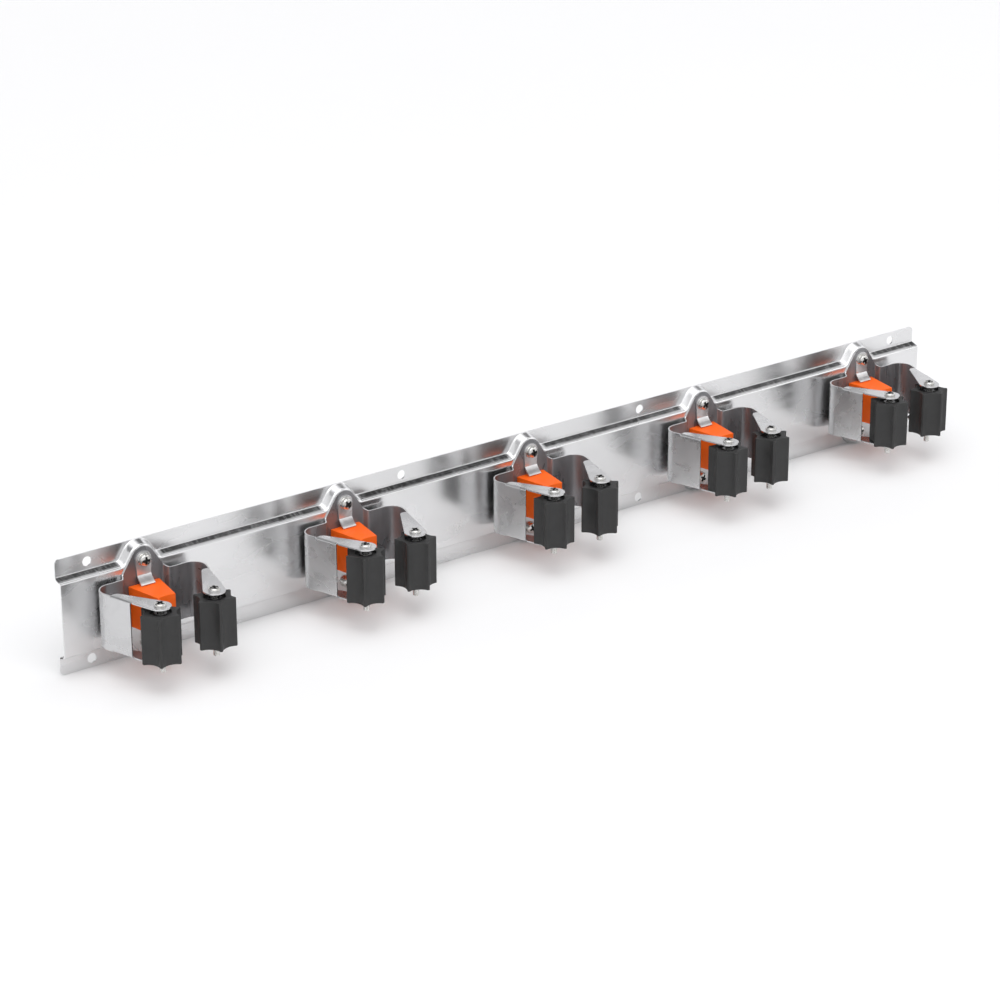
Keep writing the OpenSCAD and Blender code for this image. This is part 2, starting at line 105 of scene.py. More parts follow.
class RailSizes(bpy.types.PropertyGroup):
    """Sizes of the pressed rail"""

    span: length("Length", RAIL_HIGH[0] - RAIL_LOW[0], "Length of the rail")
    height: length("Height", RAIL_HIGH[2] - RAIL_LOW[2], "Height of the rail")
    depth: length("Depth", RAIL_HIGH[1] - RAIL_LOW[1], "Depth from the wall to the front face")
    sheet: length("Sheet", 0.0012, "Thickness of the rail's sheet")
    flange: length("Flange", 0.0137, "Width of the flat flange")
    slope: angle("Step slope", 72, "Slope of the step between flange and front face")
    bend: length("Bend radius", 0.001, "Inner radius of the step's bends")
    corner: length("Corner radius", 0.004, "Radius of the rail's corners")
    boss: length("Boss radius", 0.0109, "Radius of a boss at the middle of its front bend")
    boss_foot: length("Boss foot radius", 0.003, "Radius of the hollow fillet at a boss's foot")
    hole: length("Hole diameter", 0.008, "Diameter of the wall holes")
    hole_inset: length("Hole inset", 0.028, "Distance from the rail's end to its outer holes")
    hole_span: length("Hole span", 0.252, "Distance between the inner holes")
    hole_edge: length("Hole edge", 0.0075, "Distance from the rail's edge to the holes")
    bore: length("Screw hole", 0.0053, "Diameter of the holes for the plate screws")
    pitch: length("Clamp pitch", 0.189, "Distance from one clamp to the next")


class BracketSizes(bpy.types.PropertyGroup):
    """Sizes of the spring steel brackets"""

    strip: length("Strip", 0.0012, "Thickness of the spring steel")
    height: length("Height", 0.0465, "Height of the strip")
    plate: length("Plate width", 0.035, "Width of the flat plate on the rail")
    offset: length("Offset", 0.0044, "How far the strip steps forward beside the plate")
    slope: angle("Joggle slope", 65, "Slope of that step")
    bend: length("Joggle bend", 0.001, "Inner radius of that step's bends")
    width: length("Width", 0.094, "Width across the two arms")
    arm_r: length("Arm bend", 0.0116, "Outer radius of the bend between plate and arm")
    lean: angle("Arm lean", 15, "Lean of the arms towards each other")
    arm: length("Arm length", 0.0274, "Length of the straight part of an arm")
    tab: length("Tab radius", 0.0105, "Radius of the round end of the plate's tabs")
    tab_foot: length("Tab foot radius", 0.006, "Radius of the hollow fillet between tab and strip")
    tab_lean: angle("Tab lean", 33, "Lean of the tab's sides")
    screw_inset: length("Screw inset", 0.0138, "Distance from the rail's edge to the plate screws")
    fold: length("Fold length", 0.0207, "Length of the fold between arm and ear")
    fold_r: length("Fold radius", 0.0007, "Inner radius of that fold")
    root_r: length("Ear root radius", 0.0045, "Radius of the ear's root")
    end_r: length("Ear end radius", 0.0088, "Radius of the ear's round end")
    edge_inset: length("Ear inset", 0.0012, "How far the ear's edge lies inside the arm's face")
    reach: length("Ear reach", 0.022, "Distance from the arm's front edge to the roller's axis")


class BlockSizes(bpy.types.PropertyGroup):
    """Sizes of the orange blocks and of the hooks that hold them down"""

    back: length("Back width", 0.028, "Width of the block at the plate")
    front: length("Front width", 0.016, "Width of the block at the handle")
    depth: length("Depth", 0.033, "Depth of the block")
    height: length("Height", 0.0333, "Height of the block")
    top: length("Top", 0.0145, "Height of the block's top above the rail's middle")
    edge: length("Edge radius", 0.0013, "Radius of the block's edges")
    rest_r: length("Rest radius", 0.03, "Radius of the hollow that a handle rests in")
    rest: length("Rest depth", 0.001, "Depth of that hollow")
    hook: length("Hook sheet", 0.0012, "Thickness of the hook's sheet")
    hook_r: length("Hook end radius", 0.007, "Radius of the hook's round end")
    hook_w: length("Hook width", 0.0124, "Width of the hook at its lip")
    hook_slope: angle("Hook slope", 45, "Slope of the hook's lip")
    hook_bow: angle("Hook bow", 13, "How far the lip's slope changes on either side of its mean")
    hook_bend: length("Hook bend", 0.001, "Inner radius of the hook's bend")
    lip: length("Lip length", 0.0084, "Length of the hook's sloping lip")
    gap: length("Lip gap", 0.0001, "Gap between the lip and the block")


class RollerSizes(bpy.types.PropertyGroup):
    """Sizes of the rollers and their hub sleeves"""

    ribs: IntProperty(
        name="Ribs", description="Number of ribs round a roller", default=6, min=5, max=8
    )
    tip: length("Tip radius", 0.01675, "Radius over the ribs")
    root: length("Root radius", 0.012, "Radius at the bottom of the hollows")
    rib: angle("Rib half angle", 2.5, "Half the width of a rib's tip")
    height: length("Height", 0.040, "Height of a roller")
    stand: length("Gap", 0.0003, "Gap between a roller and the ear under it")
    recess: length("Recess radius", 0.0085, "Radius of the recess in the roller's top")
    recess_depth: length("Recess depth", 0.0022, "Depth of that recess")
    hub: length("Hub radius", 0.00525, "Outer radius of the hub sleeve")
    hub_drop: length("Hub drop", 0.001, "How far the hub's top lies below the roller's top")
    edge: length("Edge radius", 0.0005, "Radius of the rubber's upper and lower edges")


class ScrewSizes(bpy.types.PropertyGroup):
    """Sizes of the screws, washers and nuts"""

    thread: length("Thread radius", 0.0025, "Outer radius of every thread")
    head: length("Head radius", 0.00475, "Radius of every head")
    axle_head: length("Axle head", 0.0026, "Head height of the axle screws")
    plate_head: length("Plate head", 0.0034, "Head height of the plate screws")
    axle_end: length("Axle end", 0.008, "How far an axle's end stands out under the ear")
    pitch: length("Thread pitch", 0.0008, "Rise of the thread in one turn")
    groove: length("Thread depth", 0.0002, "Depth of the thread's groove")
    washer: length("Washer radius", 0.00525, "Radius of the washers")
    washer_t: length("Washer", 0.001, "Thickness of the washers")
    nut: length("Nut width", 0.008, "Width of the nuts across their flats")
    nut_h: length("Nut height", 0.0035, "Height of the nuts")
    tail: length("Screw tail", 0.001, "How far a plate screw stands out behind its nut")
    slot: length("Cross width", 0.0019, "Width of the cross in a head")
    slot_depth: length("Cross depth", 0.0018, "Depth of the cross in a head")


class FinishColours(bpy.types.PropertyGroup):
    """Colours of the pieces"""

    chrome: colour("Chrome", (0.74, 0.74, 0.745), "Bright plating of the rail")
    spring: colour("Spring steel", (0.60, 0.60, 0.605), "Satin plating of the brackets")
    # Painted shade: this darker colour stands in for the shade on the strip's inner face
    inner: colour("Inner face", (0.24, 0.24, 0.25), "Inner face of the brackets' strip")
    zinc: colour("Zinc", (0.70, 0.70, 0.695), "Plating of screws, washers and nuts")
    orange: colour("Orange", (1.0, 0.135, 0.005), "Moulded plastic of the blocks")
    rubber: colour("Rubber", (0.025, 0.025, 0.025), "Rubber of the rollers")
    hub: colour("Hub", (0.012, 0.012, 0.013), "Plastic of the hub sleeves")
    floor: colour("Floor", (0.86, 0.86, 0.86), "Pale floor of the studio")


class ToolRailSettings(bpy.types.PropertyGroup):
    """Everything that the operators read"""

    rail: PointerProperty(type=RailSizes)
    bracket: PointerProperty(type=BracketSizes)
    block: PointerProperty(type=BlockSizes)
    roller: PointerProperty(type=RollerSizes)
    screw: PointerProperty(type=ScrewSizes)
    colours: PointerProperty(type=FinishColours)


# Shapes in the plane


def sizes():
    """All sizes and colours, as the user left them"""
    return bpy.context.scene.tool_rail


def turned(a):
    return Vector((math.cos(a), math.sin(a)))


def arc(middle, r, start, end, steps):
    """Points from start to end, in radians"""
    angles = (start + (end - start) * k / steps for k in range(steps + 1))
    return [Vector(middle) + r * turned(a) for a in angles]


def bent_run(rise, slope, r, sheet):
    return (2 * r + sheet) * math.tan(slope / 2) + rise / math.tan(slope)


def clamp_x(i):
    return (i - (CLAMPS - 1) / 2) * sizes().rail.pitch


def screw_height():
    s = sizes()
    return s.rail.height / 2 - s.bracket.screw_inset


def plate_front():
    s = sizes()
    return -s.rail.depth - s.bracket.strip


def ear_top():
    return sizes().bracket.height / 2


class ArmPlan:
    """Plan of a right arm, with the middle of its big bend as the origin of its own frame"""

    def __init__(self):
        s = sizes()
        b = s.bracket
        self.lean = b.lean
        self.middle = Vector((b.width / 2 - b.arm_r, -s.rail.depth - b.offset - b.arm_r))
        self.fold_out = b.fold_r + b.strip
        self.fold_x = b.arm_r - self.fold_out
        self.fold_y = b.fold - b.arm
        self.axle = Vector((b.arm_r - b.end_r - b.edge_inset, -b.arm - b.reach))
        self.root = Vector((self.fold_x - b.root_r / 3, self.fold_y - b.root_r))

    def to_clamp(self, p):
        c, s = math.cos(self.lean), math.sin(self.lean)
        return self.middle + Vector((p[0] * c + p[1] * s, -p[0] * s + p[1] * c))


def axle_place(i, side):
    p = ArmPlan()
    spot = p.to_clamp(p.axle)
    return Vector((clamp_x(i) + side * spot.x, spot.y, 0))


def roller_foot():
    s = sizes()
    return -ear_top() + s.bracket.strip + s.roller.stand


# Pieces and meshes


def new_object(name, data):
    piece = bpy.data.objects.new(name, data)
    bpy.context.scene.collection.objects.link(piece)
    return piece


def add_piece(bm, name, finish, sharp=None):
    """Welds the mesh, turns its faces outwards, shades it and makes it an object"""
    bmesh.ops.remove_doubles(bm, verts=bm.verts, dist=WELD)
    bmesh.ops.recalc_face_normals(bm, faces=bm.faces)
    mesh = bpy.data.meshes.new(name)
    bm.to_mesh(mesh)
    bm.free()
    mesh.materials.append(finish)
    mesh.shade_smooth()
    if sharp:
        mesh.set_sharp_from_angle(angle=math.radians(sharp))
    return new_object(name, mesh)


def apply_modifiers(piece):
    """Turns what the modifiers make into the piece's plain mesh"""
    graph = bpy.context.evaluated_depsgraph_get()
    mesh = bpy.data.meshes.new_from_object(piece.evaluated_get(graph))
    piece.modifiers.clear()
    piece.data = mesh


def soften(piece, edge=0.0, limit=40, segments=2, sheet=0.0):
    """Gives a sheet its thickness, rounds the edges and evens the shading"""
    if sheet:
        wall = piece.modifiers.new("Sheet", "SOLIDIFY")
        wall.thickness, wall.offset, wall.use_even_offset = sheet, 0.0, True
        wall.material_offset = len(piece.data.materials) - 1
    if edge:
        bevel = piece.modifiers.new("Edges", "BEVEL")
        bevel.width, bevel.segments, bevel.harden_normals = edge, segments, True
        bevel.limit_method, bevel.angle_limit = "ANGLE", math.radians(limit)
    piece.modifiers.new("Shading", "WEIGHTED_NORMAL").keep_sharp = True
    apply_modifiers(piece)


def assign(piece, body, slot, *nodes):
    """Names the piece's body and hides the nodes that it stands for. The slot, its finish, is not
    used.
    """
    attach(piece, body)
    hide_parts(*nodes)


def lay_out(piece, places, slot):
    """Copies the piece to each place (name, body, node, matrix), then removes it"""
    for name, body, node, matrix in places:
        mesh = piece.data.copy()
        mesh.transform(matrix)
        assign(new_object(name, mesh), body, slot, node)
    bpy.data.objects.remove(piece)


def clamp_places(name, node):
    """The middle of each clamp, for pieces that stand still"""
    for i in range(CLAMPS):
        yield f"{name}_{i + 1}", "frame", f"{node}_{i + 1}", Matrix.Translation((clamp_x(i), 0, 0))


def roller_places(name, node):
    """Each axle, turned as its roller is"""
    for i in range(CLAMPS):
        for side, sign, turn in zip(("left", "right"), (-1, 1), ROLLER_TURNS[i]):
            end = f"_{i + 1}_{side}"
            spin = Matrix.Rotation(math.radians(turn), 4, "Z")
            matrix = Matrix.Translation(axle_place(i, sign)) @ spin
            yield name + end, "roller" + end, node + end, matrix


def spoke(bm, ring, a):
    """Vertices of a ring of (radius, height), set up at angle a round Z"""
    way = turned(a)
    return [bm.verts.new((way.x * r, way.y * r, z)) for r, z in ring]


def lathe(ring, turns, close_ring=True):
    """A mesh turned round Z. The ring is one for all angles, or a function of the angle."""
    bm = bmesh.new()
    angles = [2 * math.pi * k / turns for k in range(turns)]
    rows = [spoke(bm, ring(a) if callable(ring) else ring, a) for a in angles]
    skin(bm, rows, True, close_ring)
    return bm


def skin(bm, rows, round_trip=False, closed=False):
    """Joins rows of vertices by quads, the last row to the first on a round trip"""
    for k in range(len(rows) if round_trip else len(rows) - 1):
        a, b = rows[k], rows[(k + 1) % len(rows)]
        for j in range(len(a) if closed else len(a) - 1):
            n = (j + 1) % len(a)
            bm.faces.new((a[j], b[j], b[n], a[n]))


def everything(bm):
    return bm.verts[:] + bm.edges[:] + bm.faces[:]


def plate(bm, outlines, ys, runs):
    """A flat sheet inside the first outline, less the others

    The holes get walls all round, and the outline gets them on its runs.
    """
    sets = [[[bm.verts.new((p.x, y, p.y)) for p in line] for line in outlines] for y in ys]
    flat = [[Vector((p.x, p.y, 0)) for p in line] for line in outlines]
    corners = [p for line in flat for p in line]
    triangles = tessellate_polygon(flat)
    for lines in sets:
        verts = [v for line in lines for v in line]
        for t in triangles:
            a, b, c = (corners[k] for k in t)
            if (b - a).cross(c - a).length > SLIVER:
                bm.faces.new([verts[k] for k in t])
    for start, steps in runs:
        skin(bm, [(lines[0][start:] + lines[0])[: steps + 1] for lines in sets])
    for near, far in list(zip(*sets))[1:]:
        skin(bm, [near, far], closed=True)


def round_hole(x, z, d):
    """Points of a circle, the first of them not repeated"""
    return arc((x, z), d / 2, 0, 2 * math.pi, 32)[:-1]


# Rail


def step_sections():
    """Front and back of the step as (distance from the flange's edge, y)"""
    r = sizes().rail
    a, t = r.slope, r.sheet
    rise = r.depth - t
    run = bent_run(rise, a, r.bend, t)
    first, second = (0, -r.bend - t), (run, r.bend - rise)
    front, back = (
        arc(first, near, QUARTER, QUARTER - a, 8)
        + arc(second, far, 3 * QUARTER - a, 3 * QUARTER, 10)
        for near, far in ((r.bend, r.bend + t), (r.bend + t, r.bend))
    )
    return run, front, back


def step_path(run):
    """Line where the upper flange starts to bend, as (point, direction towards the front face)"""
    s = sizes()
    r, lean = s.rail, s.bracket.tab_lean
    half_bend = (r.bend + r.sheet / 2) * math.tan(r.slope / 2)
    big = r.boss - half_bend + run
    line_z, screw_z = r.height / 2 - r.flange, screw_height()
    foot_z = line_z + r.boss_foot
    side = ((big + r.boss_foot) * math.sin(lean) - foot_z + screw_z) / math.cos(lean)
    foot_x = (big + r.boss_foot) * math.cos(lean) + side * math.sin(lean)
    down = Vector((0, -1))
    path = [(Vector((-r.span / 2, line_z)), down)]
    for x in (clamp_x(i) for i in range(CLAMPS)):
        for middle, radius, start, end, steps, sign in (
            ((x - foot_x, foot_z), r.boss_foot, -QUARTER, -lean, 10, 1),
            ((x, screw_z), big, math.pi - lean, lean, 30, -1),
            ((x + foot_x, foot_z), r.boss_foot, math.pi + lean, 3 * QUARTER, 10, 1),
        ):
            ways = arc((0, 0), 1, start, end, steps)
            path += [(Vector(middle) + radius * way, sign * way) for way in ways]
    path.append((Vector((r.span / 2, line_z)), down))
    return path


def rail_mesh():
    r = sizes().rail
    bm = bmesh.new()
    run, front, back = step_sections()
    path = step_path(run)
    h, w, spare = r.height / 2, r.span / 2, 0.002
    corner = arc((w - r.corner, h - r.corner), r.corner, QUARTER, 0, 8)
    for flip in (1, -1):
        line = [Vector((p.x, flip * p.y)) for p, _ in path]
        edge = [Vector((p.x, flip * p.y)) for p in [Vector((w - r.corner, h + spare)), *corner]]
        outer = [Vector((-p.x, p.y)) for p in reversed(edge)]
        outline = line + edge[::-1] + outer[::-1]
        holes = [
            round_hole(side * x, flip * (h - r.hole_edge), r.hole)
            for x in (w - r.hole_inset, r.hole_span / 2)
            for side in (-1, 1)
        ]
        rim = len(line) - 1
        plate(bm, [outline, *holes], (-r.sheet, 0.0), [(rim, len(outline) - rim)])
        ends = []
        for ring in (front, back):
            rows = []
            for p, way in path:
                spots = [(p + q.x * way, q.y) for q in ring]
                rows.append([bm.verts.new((spot.x, y, flip * spot.y)) for spot, y in spots])
            skin(bm, rows)
            ends.append((rows[0], rows[-1]))
        for pair in zip(*ends):
            skin(bm, pair)
    top = [p + run * way for p, way in path]
    low = [Vector((p.x, -p.y)) for p in reversed(top)]
    bores = [
        round_hole(clamp_x(i), side * screw_height(), r.bore)
        for i in range(CLAMPS)
        for side in (1, -1)
    ]
    sides = [(len(top) - 1, 1), (2 * len(top) - 1, 1)]
    plate(bm, [top + low, *bores], (-r.depth, -r.depth + r.sheet), sides)
    bmesh.ops.remove_doubles(bm, verts=bm.verts, dist=WELD)
    for flip in (1, -1):
        plane = {"plane_co": (0, 0, flip * h), "plane_no": (0, 0, flip), "clear_outer": True}
        bmesh.ops.bisect_plane(bm, geom=everything(bm), dist=TINY, **plane)
        rim = [e for e in bm.edges if e.is_boundary]
        bmesh.ops.triangulate(bm, faces=bmesh.ops.holes_fill(bm, edges=rim, sides=0)["faces"])
    return bm


class TOOLRAIL_OT_rail_sheet(bpy.types.Operator):
    """Presses the rail's sheet, with its step running round ten bosses"""

    bl_idname = "toolrail.rail_sheet"
    bl_label = "Rail sheet"

    def execute(self, context):
        piece = add_piece(rail_mesh(), "pressed_rail", bright_plate(), sharp=35)
        soften(piece)
        assign(piece, "frame", "rail_steel", "rail")
        return {"FINISHED"}


# Bracket


def tab_top(x):
    """Height of the strip's edge at a distance x from the clamp's middle"""
    s = sizes()
    b, x, z = s.bracket, abs(x), screw_height()
    lean, base = b.tab_lean, b.height / 2
    foot_x = (b.tab + b.tab_foot - (base + b.tab_foot - z) * math.sin(lean)) / math.cos(lean)
    if x < b.tab * math.cos(lean):
        return z + math.sqrt(b.tab**2 - x**2)
    fillet_x = foot_x - b.tab_foot * math.cos(lean)
    if x < fillet_x:
        return z + b.tab * math.sin(lean) - (x - b.tab * math.cos(lean)) / math.tan(lean)
    if x < foot_x:
        return base + b.tab_foot - math.sqrt(b.tab_foot**2 - (foot_x - x) ** 2)
    return base


def strip_path():
    """Middle of the strip seen from above: points up to the fold, and points along the fold"""
    s = sizes()
    b, plan = s.bracket, ArmPlan()
    back, half = -s.rail.depth, b.strip / 2
    run = bent_run(b.offset, b.slope, b.bend, b.strip)
    inner = b.plate / 2
    path = [Vector((inner * k / 18, back - half)) for k in range(18)]
    path += arc((inner, back - b.bend - b.strip), b.bend + half, QUARTER, QUARTER - b.slope, 6)
    out = (inner + run, back + b.bend - b.offset)
    path += arc(out, b.bend + half, 3 * QUARTER - b.slope, 3 * QUARTER, 6)
    level = path[-1].y
    gap = plan.middle.x - path[-1].x
    path += [Vector((path[-1].x + gap * k / 4, level)) for k in range(1, 4)]
    path += arc(plan.middle, b.arm_r - half, QUARTER, -b.lean, 24)
    x = b.arm_r - half
    path += [plan.to_clamp((x, plan.fold_y * k / 3)) for k in range(1, 4)]
    fold = [plan.to_clamp((x, plan.fold_y - b.fold * k / 8)) for k in range(9)]
    return path, fold


def ear_outline(plan):
    """Free edge of an ear in the arm's frame, from the fold's start round to its end"""
    b = sizes().bracket
    gap = plan.axle - plan.root
    along = math.atan2(gap.y, gap.x)
    turn = math.acos((b.root_r - b.end_r) / gap.length)
    inner, outer = along - turn, along + turn
    line = arc(plan.root, b.root_r, QUARTER, inner + 2 * math.pi, 8)
    line += arc(plan.axle, b.end_r, inner + 2 * math.pi, outer + 2 * math.pi, 32)
    line += [Vector((b.arm_r - inset, -b.arm - below)) for inset, below in NOTCH]
    return line


def bracket_mesh():
    s = sizes()
    b, plan = s.bracket, ArmPlan()
    bm = bmesh.new()
    low = ear_top() - plan.fold_out
    path, fold = strip_path()
    levels = [low * (k / 4 - 1) for k in range(9)]
    rises = [k / 6 for k in range(1, 7)]
    rows = []
    for p in path:
        top = tab_top(p.x)
        above = [low + (top - low) * f for f in rises]
        heights = [-z for z in reversed(above)] + levels + above
        rows.append([bm.verts.new((p.x, p.y, z)) for z in heights])
    skin(bm, rows)
    mid_r = b.fold_r + b.strip / 2
    edges = {1: [], -1: []}
    rows = []
    for k, p in enumerate(fold):
        y = plan.fold_y - b.fold * k / 8
        rows.append([bm.verts.new((p.x, p.y, z)) for z in levels])
        for side in (1, -1):
            bend = []
            for j in range(7):
                a = QUARTER * j / 6
                q = plan.to_clamp((plan.fold_x + mid_r * math.cos(a), y))
                bend.append(bm.verts.new((q.x, q.y, side * (low + mid_r * math.sin(a)))))
            edges[side].append(bend)
    skin(bm, rows)
    for side in (1, -1):
        skin(bm, edges[side])
        crest = [bend[-1] for bend in edges[side]]
        rim = []
        for q in ear_outline(plan):
            p = plan.to_clamp(q)
            rim.append(bm.verts.new((p.x, p.y, side * (low + mid_r))))
        bm.faces.new(rim + crest[::-1])
    bmesh.ops.remove_doubles(bm, verts=bm.verts, dist=WELD)
    for v in bmesh.ops.duplicate(bm, geom=everything(bm))["geom"]:
        if isinstance(v, bmesh.types.BMVert):
            v.co.x = -v.co.x
    return bm


class TOOLRAIL_OT_brackets(bpy.types.Operator):
    """Bends the five spring steel brackets with their tabs, arms and ears"""

    bl_idname = "toolrail.brackets"
    bl_label = "Brackets"

    def execute(self, context):
        piece = add_piece(bracket_mesh(), "bracket", spring_plate())
        # Second slot: the strip's inner face, with painted shade
        piece.data.materials.append(inner_face_painted_shade())
        soften(piece, edge=0.0002, limit=50, sheet=sizes().bracket.strip)
        lay_out(piece, clamp_places("clamp_bracket", "bracket"), "spring_steel")
        return {"FINISHED"}


# Block and hook


def block_mesh():
    k = sizes().block
    bm = bmesh.new()
    back, front = plate_front(), plate_front() - k.depth
    centre = front - k.rest_r + k.rest
    reach = math.sqrt(k.rest_r**2 - (front - centre) ** 2)
    turn = math.asin(reach / k.rest_r)
    plan = [Vector((k.back / 2, back)), Vector((-k.back / 2, back)), Vector((-k.front / 2, front))]
    plan += arc((0, centre), k.rest_r, QUARTER + turn, QUARTER - turn, 12)
    plan.append(Vector((k.front / 2, front)))
    rows = [[bm.verts.new((p.x, p.y, z)) for p in plan] for z in (k.top - k.height, k.top)]
    skin(bm, rows, closed=True)
    for row in rows:
        bm.faces.new(row)
    return bm


class TOOLRAIL_OT_blocks(bpy.types.Operator):
    """Moulds the five orange blocks with the hollow that a handle rests in"""

    bl_idname = "toolrail.blocks"
    bl_label = "Blocks"

    def execute(self, context):
        piece = add_piece(block_mesh(), "block", orange_plastic())
        soften(piece, edge=sizes().block.edge, limit=30, segments=4)
        lay_out(piece, clamp_places("rest_block", "block"), "orange_plastic")
        return {"FINISHED"}


def hook_mesh():
    """Middle of the hook's sheet: round end, neck, bend and lip"""
    k = sizes().block
    bm = bmesh.new()
    z0, half = screw_height(), k.hook / 2
    y0 = plate_front() - half
    drop = (k.hook_bend + k.hook) * math.sin(k.hook_slope) + k.lip * math.cos(k.hook_slope)
    bend_z = k.top + k.gap + drop
    side, blunt = [], 0.02
    for n in range(13):
        a = QUARTER * (1 - n / 12)
        spot = Vector((y0, z0 + k.hook_r * math.sin(a)))
        side.append((k.hook_r * max(math.cos(a), blunt), spot))
    for n in range(1, 7):
        z = z0 + (bend_z - z0) * n / 6
        side.append((k.hook_r + (k.hook_w / 2 - k.hook_r) * n / 6, Vector((y0, z))))
    middle = Vector((y0 - half - k.hook_bend, bend_z))
    r = k.hook_bend + half
    for n in range(1, 7):
        a = (k.hook_slope - k.hook_bow) * n / 6
        side.append((k.hook_w / 2, middle + r * Vector((math.cos(a), -math.sin(a)))))
    step = (k.lip + r * k.hook_bow) / 8
    for n in range(8):
        a = k.hook_slope + k.hook_bow * ((n + 0.5) / 4 - 1)
        side.append((k.hook_w / 2, side[-1][1] - step * Vector((math.sin(a), math.cos(a)))))
    rows = [[bm.verts.new((w * (j / 4 - 1), p.x, p.y)) for j in range(9)] for w, p in side]
    skin(bm, rows)
    return bm


class TOOLRAIL_OT_hooks(bpy.types.Operator):
    """Bends the five small hooks that lie on the blocks"""

    bl_idname = "toolrail.hooks"
    bl_label = "Hooks"

    def execute(self, context):
        piece = add_piece(hook_mesh(), "hook", hook_plate())
        soften(piece, edge=0.0003, limit=50, segments=3, sheet=sizes().block.hook)
        lay_out(piece, clamp_places("hook", "clip"), "clip_steel")
        return {"FINISHED"}


# Geometry Nodes


class Wiring:
    """Short ways to add nodes to a tree and to link them"""

    def __init__(self, tree):
        self.tree = tree

    def add(self, kind, **settings):
        node = self.tree.nodes.new(kind)
        for label, value in settings.items():
            setattr(node, label, value)
        return node

    def link(self, *pairs):
        for a, b in pairs:
            self.tree.links.new(a, b)

    def feed(self, node, *values):
        """Links or sets the node's inputs in order. Returns its first output."""
        for socket, value in zip(node.inputs, values):
            if hasattr(value, "is_output"):
                self.link((value, socket))
            else:
                socket.default_value = value
        return node.outputs[0]


def shape_tree(name, *inputs):
    """A tree with the named inputs: its wiring, and the sockets at its start and its end"""
    w = Wiring(bpy.data.node_groups.new(name, "GeometryNodeTree"))
    new_socket = w.tree.interface.new_socket
    for label, kind, value in (("Geometry", "Geometry", None), *inputs):
        socket = new_socket(name=label, in_out="INPUT", socket_type="NodeSocket" + kind)
        if value is not None:
            socket.default_value = value
    new_socket(name="Geometry", in_out="OUTPUT", socket_type="NodeSocketGeometry")
    return w, w.add("NodeGroupInput").outputs, w.add("NodeGroupOutput").inputs


def finish_tree(w, start, end, instances, weld=0.0):
    """Realizes the instances, welds them where told and gives their first material its finish"""
    real, paint = w.add("GeometryNodeRealizeInstances"), w.add("GeometryNodeSetMaterial")
    slot = w.add("GeometryNodeInputMaterialIndex")
    first = w.add("FunctionNodeCompare", data_type="INT", operation="EQUAL")
    shape = real.outputs[0]
    if weld:
        merge = w.add("GeometryNodeMergeByDistance")
        merge.inputs["Distance"].default_value = weld
        w.link((shape, merge.inputs["Geometry"]))
        shape = merge.outputs[0]
    w.link(
        (instances, real.inputs[0]),
        (slot.outputs[0], first.inputs["A"]),
        (first.outputs[0], paint.inputs["Selection"]),
        (shape, paint.inputs["Geometry"]),
        (start["Finish"], paint.inputs["Material"]),
        (paint.outputs[0], end[0]),
    )
    return w.tree


def ring_tree():
    """Repeats a sector of a roller round its axle"""
    w, start, end = shape_tree(
        "Ribs round an axle", ("Ribs", "Int", 6), ("Finish", "Material", None)
    )
    points, place = w.add("GeometryNodePoints"), w.add("GeometryNodeInstanceOnPoints")
    pack, number = w.add("GeometryNodeGeometryToInstance"), w.add("GeometryNodeInputIndex")
    share = w.add("ShaderNodeMath", operation="DIVIDE")
    turn = w.add("ShaderNodeMath", operation="MULTIPLY")
    vector, spin = w.add("ShaderNodeCombineXYZ"), w.add("FunctionNodeEulerToRotation")
    share.inputs[0].default_value = 2 * math.pi
    w.link(
        (start["Ribs"], points.inputs["Count"]),
        (start["Geometry"], pack.inputs[0]),
        (start["Ribs"], share.inputs[1]),
        (share.outputs[0], turn.inputs[0]),
        (number.outputs[0], turn.inputs[1]),
        (turn.outputs[0], vector.inputs["Z"]),
        (vector.outputs[0], spin.inputs[0]),
        (points.outputs[0], place.inputs["Points"]),
        (pack.outputs[0], place.inputs["Instance"]),
        (spin.outputs[0], place.inputs["Rotation"]),
    )
    return finish_tree(w, start, end, place.outputs[0], WELD)


def fastener_tree():
    """Sets a fastener on each point, aimed as the point says and turned at random"""
    w, start, end = shape_tree(
        FASTENERS,
        ("Fastener", "Object", None),
        ("Turn", "Float", math.pi),
        ("Seed", "Int", 1),
        ("Finish", "Material", None),
    )
    info, place = w.add("GeometryNodeObjectInfo"), w.add("GeometryNodeInstanceOnPoints")
    aim = w.add("GeometryNodeInputNamedAttribute", data_type="FLOAT_VECTOR")
    face, spin = w.add("FunctionNodeEulerToRotation"), w.add("FunctionNodeEulerToRotation")
    chance, vector = w.add("FunctionNodeRandomValue"), w.add("ShaderNodeCombineXYZ")
    turn = w.add("GeometryNodeRotateInstances")
    aim.inputs["Name"].default_value = "aim"
    w.link(
        (start["Fastener"], info.inputs["Object"]),
        (start["Geometry"], place.inputs["Points"]),
        (info.outputs["Geometry"], place.inputs["Instance"]),
        (aim.outputs["Attribute"], face.inputs[0]),
        (face.outputs[0], place.inputs["Rotation"]),
        (start["Turn"], chance.inputs[3]),
        (start["Seed"], chance.inputs["Seed"]),
        (chance.outputs[1], vector.inputs["Z"]),
        (vector.outputs[0], spin.inputs[0]),
        (spin.outputs[0], turn.inputs["Rotation"]),
        (place.outputs[0], turn.inputs["Instances"]),
    )
    return finish_tree(w, start, end, turn.outputs[0])


def run_tree(piece, tree, **values):
    """Adds the tree as a modifier, sets its inputs and applies it"""
    modifier = piece.modifiers.new(tree.name, "NODES")
    modifier.node_group = tree
    keys = {i.name: i.identifier for i in tree.interface.items_tree if i.in_out == "INPUT"}
    for label, value in values.items():
        modifier[keys[label]] = value
    apply_modifiers(piece)


# Rollers and hubs


def rounded(x, z, wide, high):
    """Round corner of a ring at (x, z), its radius given twice and signed into the piece"""
    angles = (0, *CORNER, QUARTER)
    return [(x + wide * (1 - math.sin(a)), z + high * (1 - math.cos(a))) for a in angles]


